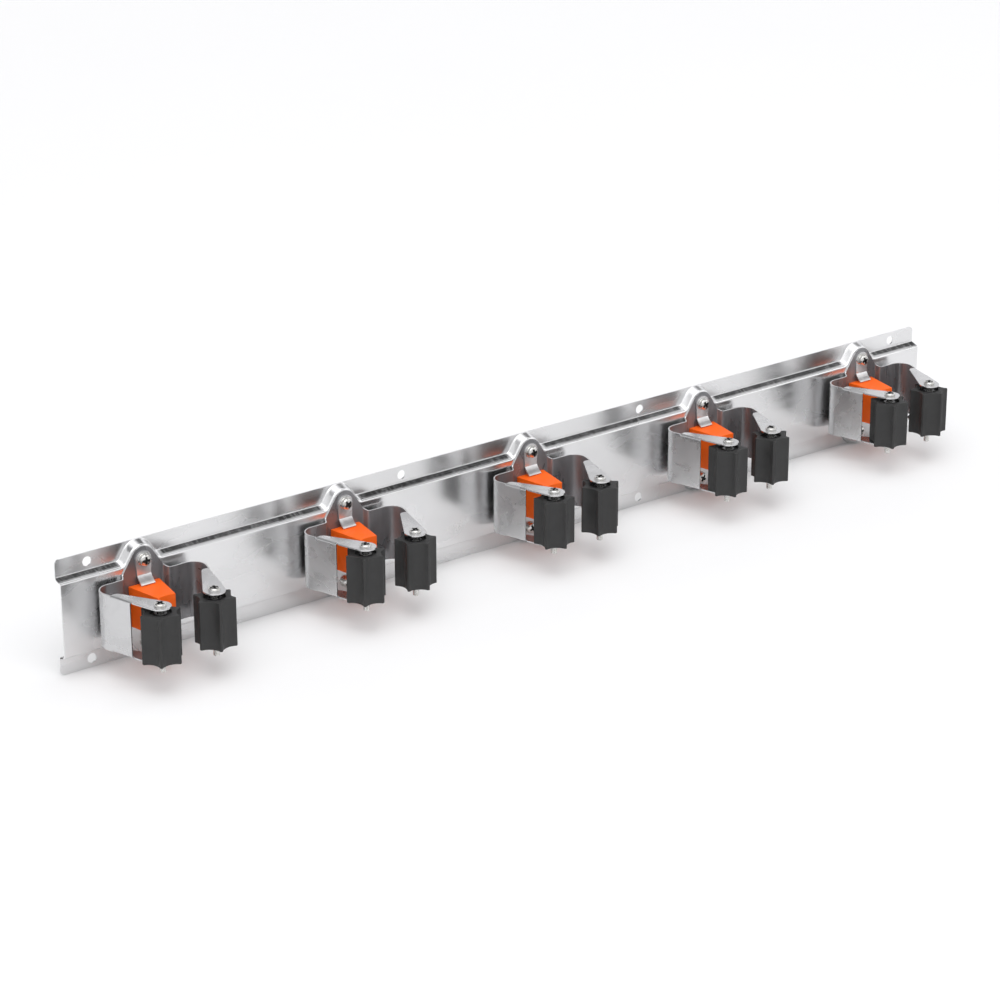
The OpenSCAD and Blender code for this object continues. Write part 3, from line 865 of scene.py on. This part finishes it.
def roller_sector():
    """One hollow of a roller with half a rib on either side, from the bore outwards"""
    r = sizes().roller
    bm = bmesh.new()
    half = math.pi / r.ribs
    hollow = half - r.rib
    flute_c = (r.tip**2 - r.root**2) / (2 * (r.tip * math.cos(hollow) - r.root))
    flute_r = flute_c - r.root
    low, high = roller_foot(), roller_foot() + r.height
    tips = [half - r.rib * 0.5, half]
    angles = [-a for a in tips[::-1]] + [hollow * (k / 7 - 1) for k in range(15)] + tips
    rows = []
    e, deep = r.edge, high - r.recess_depth
    for a in angles:
        out = r.tip
        if abs(a) <= hollow + WELD:
            out = flute_c * math.cos(a) - math.sqrt(flute_r**2 - (flute_c * math.sin(a)) ** 2)
        ring = [(r.hub, low), *rounded(out, low, -e, e), *rounded(out, high, -e, -e)[::-1]]
        ring += [*rounded(r.recess, high, e, -e), (r.recess, deep), (r.hub, deep)]
        rows.append(spoke(bm, ring, a))
    skin(bm, rows, closed=True)
    return bm


class TOOLRAIL_OT_rollers(bpy.types.Operator):
    """Moulds the ten ribbed rollers, rib by rib"""

    bl_idname = "toolrail.rollers"
    bl_label = "Rollers"

    def execute(self, context):
        finish, ribs = roller_rubber(), sizes().roller.ribs
        piece = add_piece(roller_sector(), "roller", finish)
        piece.data.transform(Matrix.Rotation(math.pi / ribs, 4, "Z"))
        run_tree(piece, ring_tree(), Ribs=ribs, Finish=finish)
        soften(piece, edge=0.0002, limit=25)
        lay_out(piece, roller_places("ribbed_roller", "roller"), "roller_rubber")
        return {"FINISHED"}


class TOOLRAIL_OT_hubs(bpy.types.Operator):
    """Turns the hub sleeve in each roller"""

    bl_idname = "toolrail.hubs"
    bl_label = "Hub sleeves"

    def execute(self, context):
        r = sizes().roller
        low, high = roller_foot(), roller_foot() + r.height - r.hub_drop
        bore, e = sizes().screw.thread + 0.0001, 0.0005
        ring = [(bore, low), (r.hub - e, low), (r.hub, low + e), (r.hub, high - e)]
        ring += [(r.hub - e + e * math.cos(t), high - e + e * math.sin(t)) for t in CORNER]
        ring += [(r.hub - e, high), (bore + e, high), (bore, high - e)]
        piece = add_piece(lathe(ring, turns=40), "hub", hub_plastic(), sharp=50)
        soften(piece)
        lay_out(piece, roller_places("hub_sleeve", "hub"), "hub_plastic")
        return {"FINISHED"}


# Screws, washers and nuts


def head_ring(high):
    """Side and crown of a pan head, from its seat to the middle of its top"""
    r, flatness = sizes().screw.head, 0.75
    ring = [(r, SEAT), (r, high / 2 - SEAT / 2)]
    for k in range(1, 12):
        a = QUARTER * k / 12
        ring.append((r * math.cos(a) ** flatness, high / 2 * (1 + math.sin(a))))
    return ring


def cross_recess(name, high):
    """Tool that sinks the cross into a head: a plus that tapers downwards"""
    s = sizes().screw
    bm = bmesh.new()
    rows = []
    for reach, width, z in ((0.58, 0.40, high - s.slot_depth), (0.72, 0.58, high + SPARE)):
        wing, half = s.head * reach, s.slot * width
        arm = ((wing, -half), (wing, half), (half, half))
        spots = [Matrix.Rotation(QUARTER * k, 2) @ Vector(p) for k in range(4) for p in arm]
        rows.append([bm.verts.new((p.x, p.y, z)) for p in spots])
    skin(bm, rows, closed=True)
    for row in rows:
        bm.faces.new(row)
    return add_piece(bm, name, recess_zinc())


def screw_piece(name, high, shank, plain, finish):
    """A pan head screw: seat at z = 0, head up, a plain shank and then its thread downwards"""
    s = sizes().screw
    point, start, stop, flank, step = 0.0004, 0.0001, 0.0006, 3.2, s.pitch / 6
    top = [(0.0, high), *head_ring(high)[::-1], (s.head - SEAT, 0.0)]
    top += [(s.thread, 0.0), (s.thread, -plain)]
    end = [(s.thread, -shank + point), (s.thread - point, -shank), (0.0, -shank)]
    heights = [-plain - start - step * k for k in range(int((shank - plain - stop) / step))]

    def ring(a):
        thread = []
        for z in heights:
            phase = (z / s.pitch + a / (2 * math.pi)) % 1.0
            fade = max(0.0, min(1.0, (-z - plain) / s.pitch, (z + shank) / s.pitch))
            thread.append((s.thread - s.groove * max(0.0, 1 - abs(phase - 0.5) * flank) * fade, z))
        return top + thread + end

    bm = lathe(ring, turns=32, close_ring=False)
    bmesh.ops.dissolve_degenerate(bm, dist=TINY, edges=bm.edges)
    piece, tool = add_piece(bm, name, finish), cross_recess(name + "_cross", high)
    sink = piece.modifiers.new("Cross", "BOOLEAN")
    sink.operation, sink.solver, sink.object = "DIFFERENCE", "EXACT", tool
    sink.material_mode = "TRANSFER"
    apply_modifiers(piece)
    bpy.data.objects.remove(tool)
    piece.data.shade_smooth()
    piece.data.set_sharp_from_angle(angle=math.radians(32))
    return piece


def set_out(name, fastener, spots, seed, finish, node):
    """Copies a fastener to the spots, each a place and the angles that it is aimed at"""
    mesh = bpy.data.meshes.new(name)
    mesh.from_pydata([place for place, _ in spots], [], [])
    aim = mesh.attributes.new("aim", "FLOAT_VECTOR", "POINT")
    for point, (_, angles) in zip(aim.data, spots):
        point.vector = angles
    piece = new_object(name, mesh)
    tree = bpy.data.node_groups.get(FASTENERS) or fastener_tree()
    run_tree(piece, tree, Fastener=fastener, Turn=math.pi, Seed=seed, Finish=finish)
    assign(piece, "frame", "zinc", node)


class TOOLRAIL_OT_axle_screws(bpy.types.Operator):
    """Sets the ten axle screws through the ears"""

    bl_idname = "toolrail.axle_screws"
    bl_label = "Axle screws"

    def execute(self, context):
        w, finish, threaded = sizes().screw, zinc_plate(), 0.0105
        shank = 2 * ear_top() + w.axle_end
        screw = screw_piece("axle_screw", w.axle_head, shank, shank - threaded, finish)
        up, upright = Vector((0, 0, ear_top())), (0, 0, 0)
        for i in range(CLAMPS):
            spots = [(axle_place(i, side) + up, upright) for side in (-1, 1)]
            set_out(f"axle_pair_{i + 1}", screw, spots, 11 + i, finish, f"axle_screws_{i + 1}")
        bpy.data.objects.remove(screw)
        return {"FINISHED"}


def washer_mesh():
    w = sizes().screw
    e, bore, rim, high = 0.0002, w.thread + 0.00015, w.washer, w.washer_t
    outside = [(rim - e, 0), (rim, e), (rim, high - e), (rim - e, high)]
    return lathe([(bore, 0), *outside, (bore + e, high), (bore, high - e)], turns=40)


def nut_mesh():
    """A hexagon nut, standing on its back face"""
    w = sizes().screw
    e, chamfer, face, bore, high = 0.0003, 0.0004, 0.93, w.thread, w.nut_h

    def ring(a):
        side = math.pi / 3
        r = w.nut / 2 / math.cos(a % side - side / 2)
        outside = [(r * face, 0.0), (r, chamfer), (r, high - chamfer), (r * face, high)]
        return [(bore, e), (bore + e, 0.0), *outside, (bore + e, high), (bore, high - e)]

    return lathe(ring, turns=36)


class TOOLRAIL_OT_plate_fasteners(bpy.types.Operator):
    """Sets the plate screws with their washers and nuts"""

    bl_idname = "toolrail.plate_fasteners"
    bl_label = "Plate screws, washers and nuts"

    def execute(self, context):
        s = sizes()
        w, finish, plain = s.screw, zinc_plate(), 0.003
        washer = add_piece(washer_mesh(), "washer", finish, sharp=35)
        nut = add_piece(nut_mesh(), "nut", finish, sharp=30)
        nut_y = w.nut_h - s.rail.depth + s.rail.sheet
        for word, seat, side, seed in (
            ("upper", plate_front() - s.block.hook, 1, 31),
            ("lower", plate_front(), -1, 47),
        ):
            head_y, height = seat - w.washer_t, side * screw_height()
            shank = nut_y - head_y + w.tail
            screw = screw_piece("plate_screw", w.plate_head, shank, plain, finish)
            stack = (("screw", screw, head_y), ("washer", washer, seat), ("nut", nut, nut_y))
            for k, (kind, piece, y) in enumerate(stack):
                spots = [((clamp_x(i), y, height), (QUARTER, 0, 0)) for i in range(CLAMPS)]
                set_out(f"{word}_{kind}_row", piece, spots, seed + k, finish, f"{word}_{kind}s")
            bpy.data.objects.remove(screw)
        bpy.data.objects.remove(washer)
        bpy.data.objects.remove(nut)
        return {"FINISHED"}


# Finishes


class Shader(Wiring):
    """A material with one Principled shader"""

    def __init__(self, name, **constants):
        self.material = bpy.data.materials.new(name)
        self.material.use_nodes = True
        super().__init__(self.material.node_tree)
        self.bsdf = self.tree.nodes["Principled BSDF"].inputs
        for label, value in constants.items():
            self.bsdf[label.replace("_", " ")].default_value = value
        self.coords = self.add("ShaderNodeTexCoord").outputs["Object"]

    def place(self):
        """Distance from the nearest clamp's middle along the rail, then y and z"""
        apart, pitch = self.add("ShaderNodeSeparateXYZ"), sizes().rail.pitch
        x = self.feed(apart, self.coords)
        beside = self.math("ABSOLUTE", self.math("WRAP", x, pitch / 2, -pitch / 2))
        return beside, apart.outputs["Y"], apart.outputs["Z"]

    def noise(self, scale, detail=3.0, rough=0.5, twist=0.0, stretch=None):
        where, node = self.coords, self.add("ShaderNodeTexNoise")
        if stretch:
            mapping = self.add("ShaderNodeMapping")
            mapping.inputs["Scale"].default_value = stretch
            where = self.feed(mapping, self.coords)
        values = {"Scale": scale, "Detail": detail, "Roughness": rough, "Distortion": twist}
        for label, value in values.items():
            node.inputs[label].default_value = value
        return self.feed(node, where)

    def ranged(self, value, low, high, start=0.0, end=1.0, smooth=True):
        kind = "SMOOTHSTEP" if smooth else "LINEAR"
        node = self.add("ShaderNodeMapRange", interpolation_type=kind)
        return self.feed(node, value, low, high, start, end)

    def math(self, operation, *values):
        return self.feed(self.add("ShaderNodeMath", operation=operation), *values)

    def times(self, a, b):
        return self.math("MULTIPLY", a, b)

    def mixed(self, a, b, share):
        """A share of a, and the rest of b"""
        return self.math("ADD", self.times(a, share), self.times(b, 1 - share))

    def blend(self, factor, a, b):
        """Colour between a and b"""
        node = self.add("ShaderNodeMix", data_type="RGBA")
        self.link((factor, node.inputs["Factor"]))
        for value, socket in ((a, node.inputs[6]), (b, node.inputs[7])):
            if hasattr(value, "is_output"):
                self.link((value, socket))
            else:
                socket.default_value = (*value, 1.0)
        return node.outputs[2]

    def shades(self, factor, tint, low, high):
        """The tint, as much darker or lighter as the two numbers say"""
        return self.blend(factor, shade(tint, low), shade(tint, high))

    def bump(self, height, strength, distance, under=None):
        node = self.add("ShaderNodeBump")
        node.inputs["Strength"].default_value = strength
        node.inputs["Distance"].default_value = distance
        self.link((height, node.inputs["Height"]))
        if under:
            self.link((under, node.inputs["Normal"]))
        return node.outputs[0]

    def finish(self, tint, rough, normal=None):
        self.link((tint, self.bsdf["Base Color"]), (rough, self.bsdf["Roughness"]))
        if normal:
            self.link((normal, self.bsdf["Normal"]))
        return self.material


def shade(tint, factor):
    return tuple(min(1.0, c * factor) for c in tint)


def bright_plate():
    """Bright plating with soft waves in it, strokes of the press in the straight steps, and
    painted shade that darkens the straight slopes of the step
    """
    s = sizes()
    tint = s.colours.chrome
    m = Shader("Bright plated sheet", Metallic=1.0)
    beside, y, _ = m.place()
    clouds = m.ranged(m.noise(14.0, 3.0, 0.5, 0.6, (0.6, 1.0, 1.3)), 0.35, 0.65)
    grain = m.noise(1300.0, 2.0, 0.6)
    top, foot, boss = -s.rail.sheet - 0.00005, -s.rail.depth + 0.0022, 0.0185
    slope = m.times(m.ranged(y, top, top - 0.0003), m.ranged(y, foot, foot + 0.0014))
    straight = m.times(slope, m.ranged(beside, boss, boss + 0.003))
    strokes = m.ranged(m.noise(1150.0, 2.0, 0.6, 0.0, (1.0, 0.10, 0.10)), 0.50, 0.62)
    strokes = m.times(strokes, m.ranged(m.noise(60.0, 2.0), 0.3, 0.62, 0.25, 1.0))
    # Painted shade: the straight slopes of the step are darkened towards a tenth of the chrome's
    # colour, and the press strokes break this painted shade up
    dark = m.times(straight, m.ranged(strokes, 0.0, 1.0, 0.96, 0.68, False))
    surface = m.blend(dark, m.shades(clouds, tint, 0.93, 1.04), shade(tint, 0.10))
    rough = m.ranged(m.mixed(clouds, grain, 0.85), 0.2, 0.8, 0.20, 0.28)
    waves = m.bump(m.noise(9.0, 2.0, 0.45, 0.3, (0.5, 1.0, 1.2)), 0.20, 0.004)
    fine = m.bump(grain, 0.004, 0.0002, waves)
    return m.finish(surface, rough, m.bump(m.times(strokes, straight), 0.6, 0.0002, fine))


def spring_plate():
    """Satin plating on spring steel, cloudy, with fine drawing lines along the strip"""
    m = Shader("Satin plated spring steel", Metallic=1.0)
    clouds = m.ranged(m.noise(34.0, 3.0, 0.55, 0.8), 0.36, 0.64)
    lines = m.noise(900.0, 2.0, 0.6, 0.0, (0.12, 0.12, 1.0))
    rough = m.ranged(m.mixed(clouds, lines, 0.85), 0.2, 0.8, 0.24, 0.32)
    surface = m.shades(clouds, sizes().colours.spring, 0.95, 1.04)
    waves = m.bump(m.noise(20.0, 1.0, 0.5), 0.03, 0.001)
    return m.finish(surface, rough, m.bump(lines, 0.006, 0.0001, waves))


def inner_face_painted_shade():
    """The same strip's inner face, dull, with painted shade that makes it dark and slightly brown,
    but bright low on the plate where the painted shade gives way to the spring steel's colour
    """
    s = sizes()
    plate_end = s.bracket.plate / 2
    m = Shader("Inner face of the strip")
    beside, _, z = m.place()
    # Low on the plate the painted shade gives way to the spring steel's own colour, and the face
    # is fully metallic
    low = m.times(m.ranged(beside, plate_end + 0.003, plate_end), m.ranged(z, -0.015, -0.02))
    clouds = m.ranged(m.noise(40.0, 3.0, 0.55, 0.6, (1.0, 1.0, 0.35)), 0.36, 0.64)
    lines = m.noise(900.0, 2.0, 0.6, 0.0, (0.12, 0.12, 1.0))
    # Painted shade: elsewhere the inner face takes the dark inner colour
    surface = m.blend(low, m.shades(clouds, s.colours.inner, 0.8, 1.2), s.colours.spring)
    m.link((m.ranged(low, 0.0, 1.0, 0.62, 1.0), m.bsdf["Metallic"]))
    rough = m.ranged(m.mixed(clouds, lines, 0.85), 0.2, 0.8, 0.26, 0.36)
    return m.finish(surface, rough, m.bump(lines, 0.006, 0.0001))


def recess_zinc():
    """Bottom of the cross in a screw head, dark because little light gets in"""
    name = "Dark cross recess"
    if name in bpy.data.materials:
        return bpy.data.materials[name]
    m = Shader(name, Metallic=1.0)
    spots = m.noise(900.0, 2.0)
    surface = m.shades(spots, sizes().colours.zinc, 0.06, 0.14)
    return m.finish(surface, m.ranged(spots, 0.3, 0.7, 0.42, 0.55))


def hook_plate():
    """Bright plating on a small stamped piece, a little cloudy"""
    m = Shader("Bright plated hook", Metallic=0.7)
    clouds = m.ranged(m.noise(120.0, 3.0, 0.5, 0.4), 0.35, 0.65)
    surface = m.shades(clouds, sizes().colours.chrome, 0.78, 0.92)
    rough = m.ranged(m.noise(500.0, 3.0), 0.3, 0.7, 0.18, 0.26)
    return m.finish(surface, rough, m.bump(m.noise(260.0, 2.0), 0.03, 0.0003))


def zinc_plate():
    """Zinc plating on small turned and headed pieces"""
    name = "Zinc plated fastener"
    if name in bpy.data.materials:
        return bpy.data.materials[name]
    tint = sizes().colours.zinc
    m = Shader(name, Metallic=1.0)
    spots = m.ranged(m.noise(700.0, 3.0, 0.6), 0.35, 0.65)
    warm = tuple(c * f for c, f in zip(tint, (1.0, 0.98, 0.93)))
    rough = m.ranged(m.noise(1500.0, 2.0), 0.3, 0.7, 0.16, 0.3)
    surface = m.blend(spots, shade(warm, 0.86), tint)
    return m.finish(surface, rough, m.bump(m.noise(900.0, 2.0), 0.08, 0.0001))


def orange_plastic():
    """Moulded plastic with a fine eroded grain, a little paler where it is rubbed"""
    tint = sizes().colours.orange
    m = Shader("Orange moulded plastic", Specular_IOR_Level=0.35)
    flow = m.ranged(m.noise(60.0, 2.0, 0.5, 0.6), 0.3, 0.7)
    grain = m.noise(2600.0, 2.0, 0.55)
    surface = m.blend(flow, shade(tint, 0.93), tuple(min(1.0, c * 1.03 + 0.004) for c in tint))
    rough = m.ranged(m.mixed(flow, grain, 0.4), 0.25, 0.75, 0.42, 0.58)
    return m.finish(surface, rough, m.bump(grain, 0.18, 0.0001))


def roller_rubber():
    """Charcoal rubber, matt, with a faint bloom and mould grain"""
    m = Shader("Charcoal roller rubber", Specular_IOR_Level=0.42)
    bloom = m.ranged(m.noise(90.0, 4.0, 0.6, 0.5), 0.3, 0.75)
    grain = m.noise(1900.0, 3.0, 0.6)
    surface = m.shades(bloom, sizes().colours.rubber, 0.82, 1.28)
    rough = m.ranged(m.mixed(bloom, grain, 0.5), 0.25, 0.75, 0.52, 0.72)
    return m.finish(surface, rough, m.bump(grain, 0.30, 0.00015))


def hub_plastic():
    """Glossy black plastic with faint turning rings"""
    m = Shader("Black hub plastic", Specular_IOR_Level=0.25)
    rings = m.noise(1100.0, 1.0, 0.5, 0.0, (0.15, 0.15, 1.0))
    surface = m.shades(m.noise(200.0, 2.0), sizes().colours.hub, 0.8, 1.5)
    return m.finish(surface, m.ranged(rings, 0.3, 0.7, 0.18, 0.32), m.bump(rings, 0.08, 0.0001))


def floor_paint():
    m = Shader("Pale studio floor", Specular_IOR_Level=0.2)
    surface = m.shades(m.noise(3.0, 2.0), sizes().colours.floor, 0.99, 1.0)
    return m.finish(surface, m.ranged(m.noise(40.0, 2.0), 0.3, 0.7, 0.75, 0.85))


# Studio


class TOOLRAIL_OT_studio(bpy.types.Operator):
    """Lays the pale floor, hangs the soft lights and sets up the camera"""

    bl_idname = "toolrail.studio"
    bl_label = "Studio"

    def execute(self, context):
        self.floor()
        self.lights()
        context.scene.world = self.room()
        context.scene.camera = self.camera()
        context.scene.view_settings.view_transform = "Standard"
        return {"FINISHED"}

    def floor(self):
        z, wide = CAD_BOX[0][2] - 0.0002, 12.0
        mesh = bpy.data.meshes.new("studio_floor")
        corners = [(-wide, -wide, z), (wide, -wide, z), (wide, wide, z), (-wide, wide, z)]
        mesh.from_pydata(corners, [], [(0, 1, 2, 3)])
        mesh.materials.append(floor_paint())
        new_object("studio_floor", mesh)

    def lights(self):
        for name, spot, aim, size, power in (
            ("key_light", (-0.9, -1.3, 2.2), (0, -0.05, 0), 1.8, 9.0),
            ("fill_light", (1.9, -1.5, 1.4), (0.1, 0, 0), 1.4, 4.0),
        ):
            lamp = bpy.data.lights.new(name, "AREA")
            lamp.shape, lamp.size, lamp.energy = "DISK", size, power
            light = new_object(name, lamp)
            light.location = spot
            light.rotation_euler = (Vector(aim) - Vector(spot)).to_track_quat("-Z", "Y").to_euler()

    def room(self):
        """Bright walls and ceiling, a dark flag high behind the object and a dark card over it"""
        world = bpy.data.worlds.new("Studio room")
        world.use_nodes = True
        w = Wiring(world.node_tree)
        way = w.add("ShaderNodeTexCoord").outputs["Generated"]
        apart = w.add("ShaderNodeSeparateXYZ")
        card = w.add("ShaderNodeVectorMath", operation="DOT_PRODUCT")
        to_card = (0.565, -0.371, 0.738)
        w.feed(apart, way)
        w.feed(card, way, to_card)

        def greys(*stops):
            """Greys by height, as (height, grey)"""
            node = w.add("ShaderNodeValToRGB")
            points = node.color_ramp.elements
            while len(points) < len(stops):
                points.new(0.5)
            for point, (height, grey) in zip(points, stops):
                point.position, point.color = height, (grey, grey, grey * 1.01, 1)
            return w.feed(node, apart.outputs["Z"])

        def over(factor, a, b):
            """The second shades the first"""
            node = w.add("ShaderNodeMix", data_type="RGBA", blend_type="MULTIPLY")
            w.feed(node, factor)
            w.link((a, node.inputs[6]), (b, node.inputs[7]))
            return node.outputs[2]

        walls = greys((0.0, 0.30), (0.25, 0.62), (0.50, 0.66), (0.72, 1.0))
        flag = greys((0.44, 1.0), (0.56, 0.10), (0.82, 0.10), (0.95, 1.0))
        behind = w.feed(w.add("ShaderNodeMapRange"), apart.outputs["Y"], 0.0, 0.25)
        edge = w.feed(w.add("ShaderNodeMapRange"), card.outputs["Value"], 0.93, 0.975, 1.0, 0.08)
        w.feed(w.tree.nodes["Background"], over(1.0, over(behind, walls, flag), edge), 1.85)
        return world

    def camera(self):
        lens = bpy.data.cameras.new("photograph_view")
        lens.sensor_width, lens.lens, lens.clip_start = 36.0, 116.82, 0.05
        pan, down, roll = -37.4307, 21.7610, -0.161
        turn = Matrix.Identity(3)
        for degrees, axis in ((pan, "Z"), (90 - down, "X"), (roll, "Z")):
            turn = turn @ Matrix.Rotation(math.radians(degrees), 3, axis)
        eye = new_object("photograph_view", lens)
        eye.location = (-1.558391, -2.004571, 1.000602)
        eye.rotation_euler = turn.to_euler()
        return eye


PIECES = (
    TOOLRAIL_OT_rail_sheet,
    TOOLRAIL_OT_brackets,
    TOOLRAIL_OT_blocks,
    TOOLRAIL_OT_hooks,
    TOOLRAIL_OT_rollers,
    TOOLRAIL_OT_hubs,
    TOOLRAIL_OT_axle_screws,
    TOOLRAIL_OT_plate_fasteners,
    TOOLRAIL_OT_studio,
)


class TOOLRAIL_PT_panel(bpy.types.Panel):
    """Lists the pieces and their sizes"""

    bl_idname = "TOOLRAIL_PT_panel"
    bl_label = "Tool holder rail"
    bl_space_type = "VIEW_3D"
    bl_region_type = "UI"
    bl_category = "Tool rail"

    def draw(self, context):
        for piece in PIECES:
            self.layout.operator(piece.bl_idname)
        settings = sizes()
        for group in ("rail", "bracket", "block", "roller", "screw", "colours"):
            box = self.layout.box()
            box.label(text=group.capitalize())
            values = getattr(settings, group)
            for key in values.__annotations__:
                box.prop(values, key)


CLASSES = (
    RailSizes,
    BracketSizes,
    BlockSizes,
    RollerSizes,
    ScrewSizes,
    FinishColours,
    ToolRailSettings,
    *PIECES,
    TOOLRAIL_PT_panel,
)


def register():
    for c in CLASSES:
        bpy.utils.register_class(c)
    bpy.types.Scene.tool_rail = PointerProperty(type=ToolRailSettings)


def unregister():
    del bpy.types.Scene.tool_rail
    for c in reversed(CLASSES):
        bpy.utils.unregister_class(c)


def main():
    register()
    bpy.ops.toolrail.rail_sheet()
    bpy.ops.toolrail.brackets()
    bpy.ops.toolrail.blocks()
    bpy.ops.toolrail.hooks()
    bpy.ops.toolrail.rollers()
    bpy.ops.toolrail.hubs()
    bpy.ops.toolrail.axle_screws()
    bpy.ops.toolrail.plate_fasteners()
    bpy.ops.toolrail.studio()


if __name__ == "__main__":
    main()
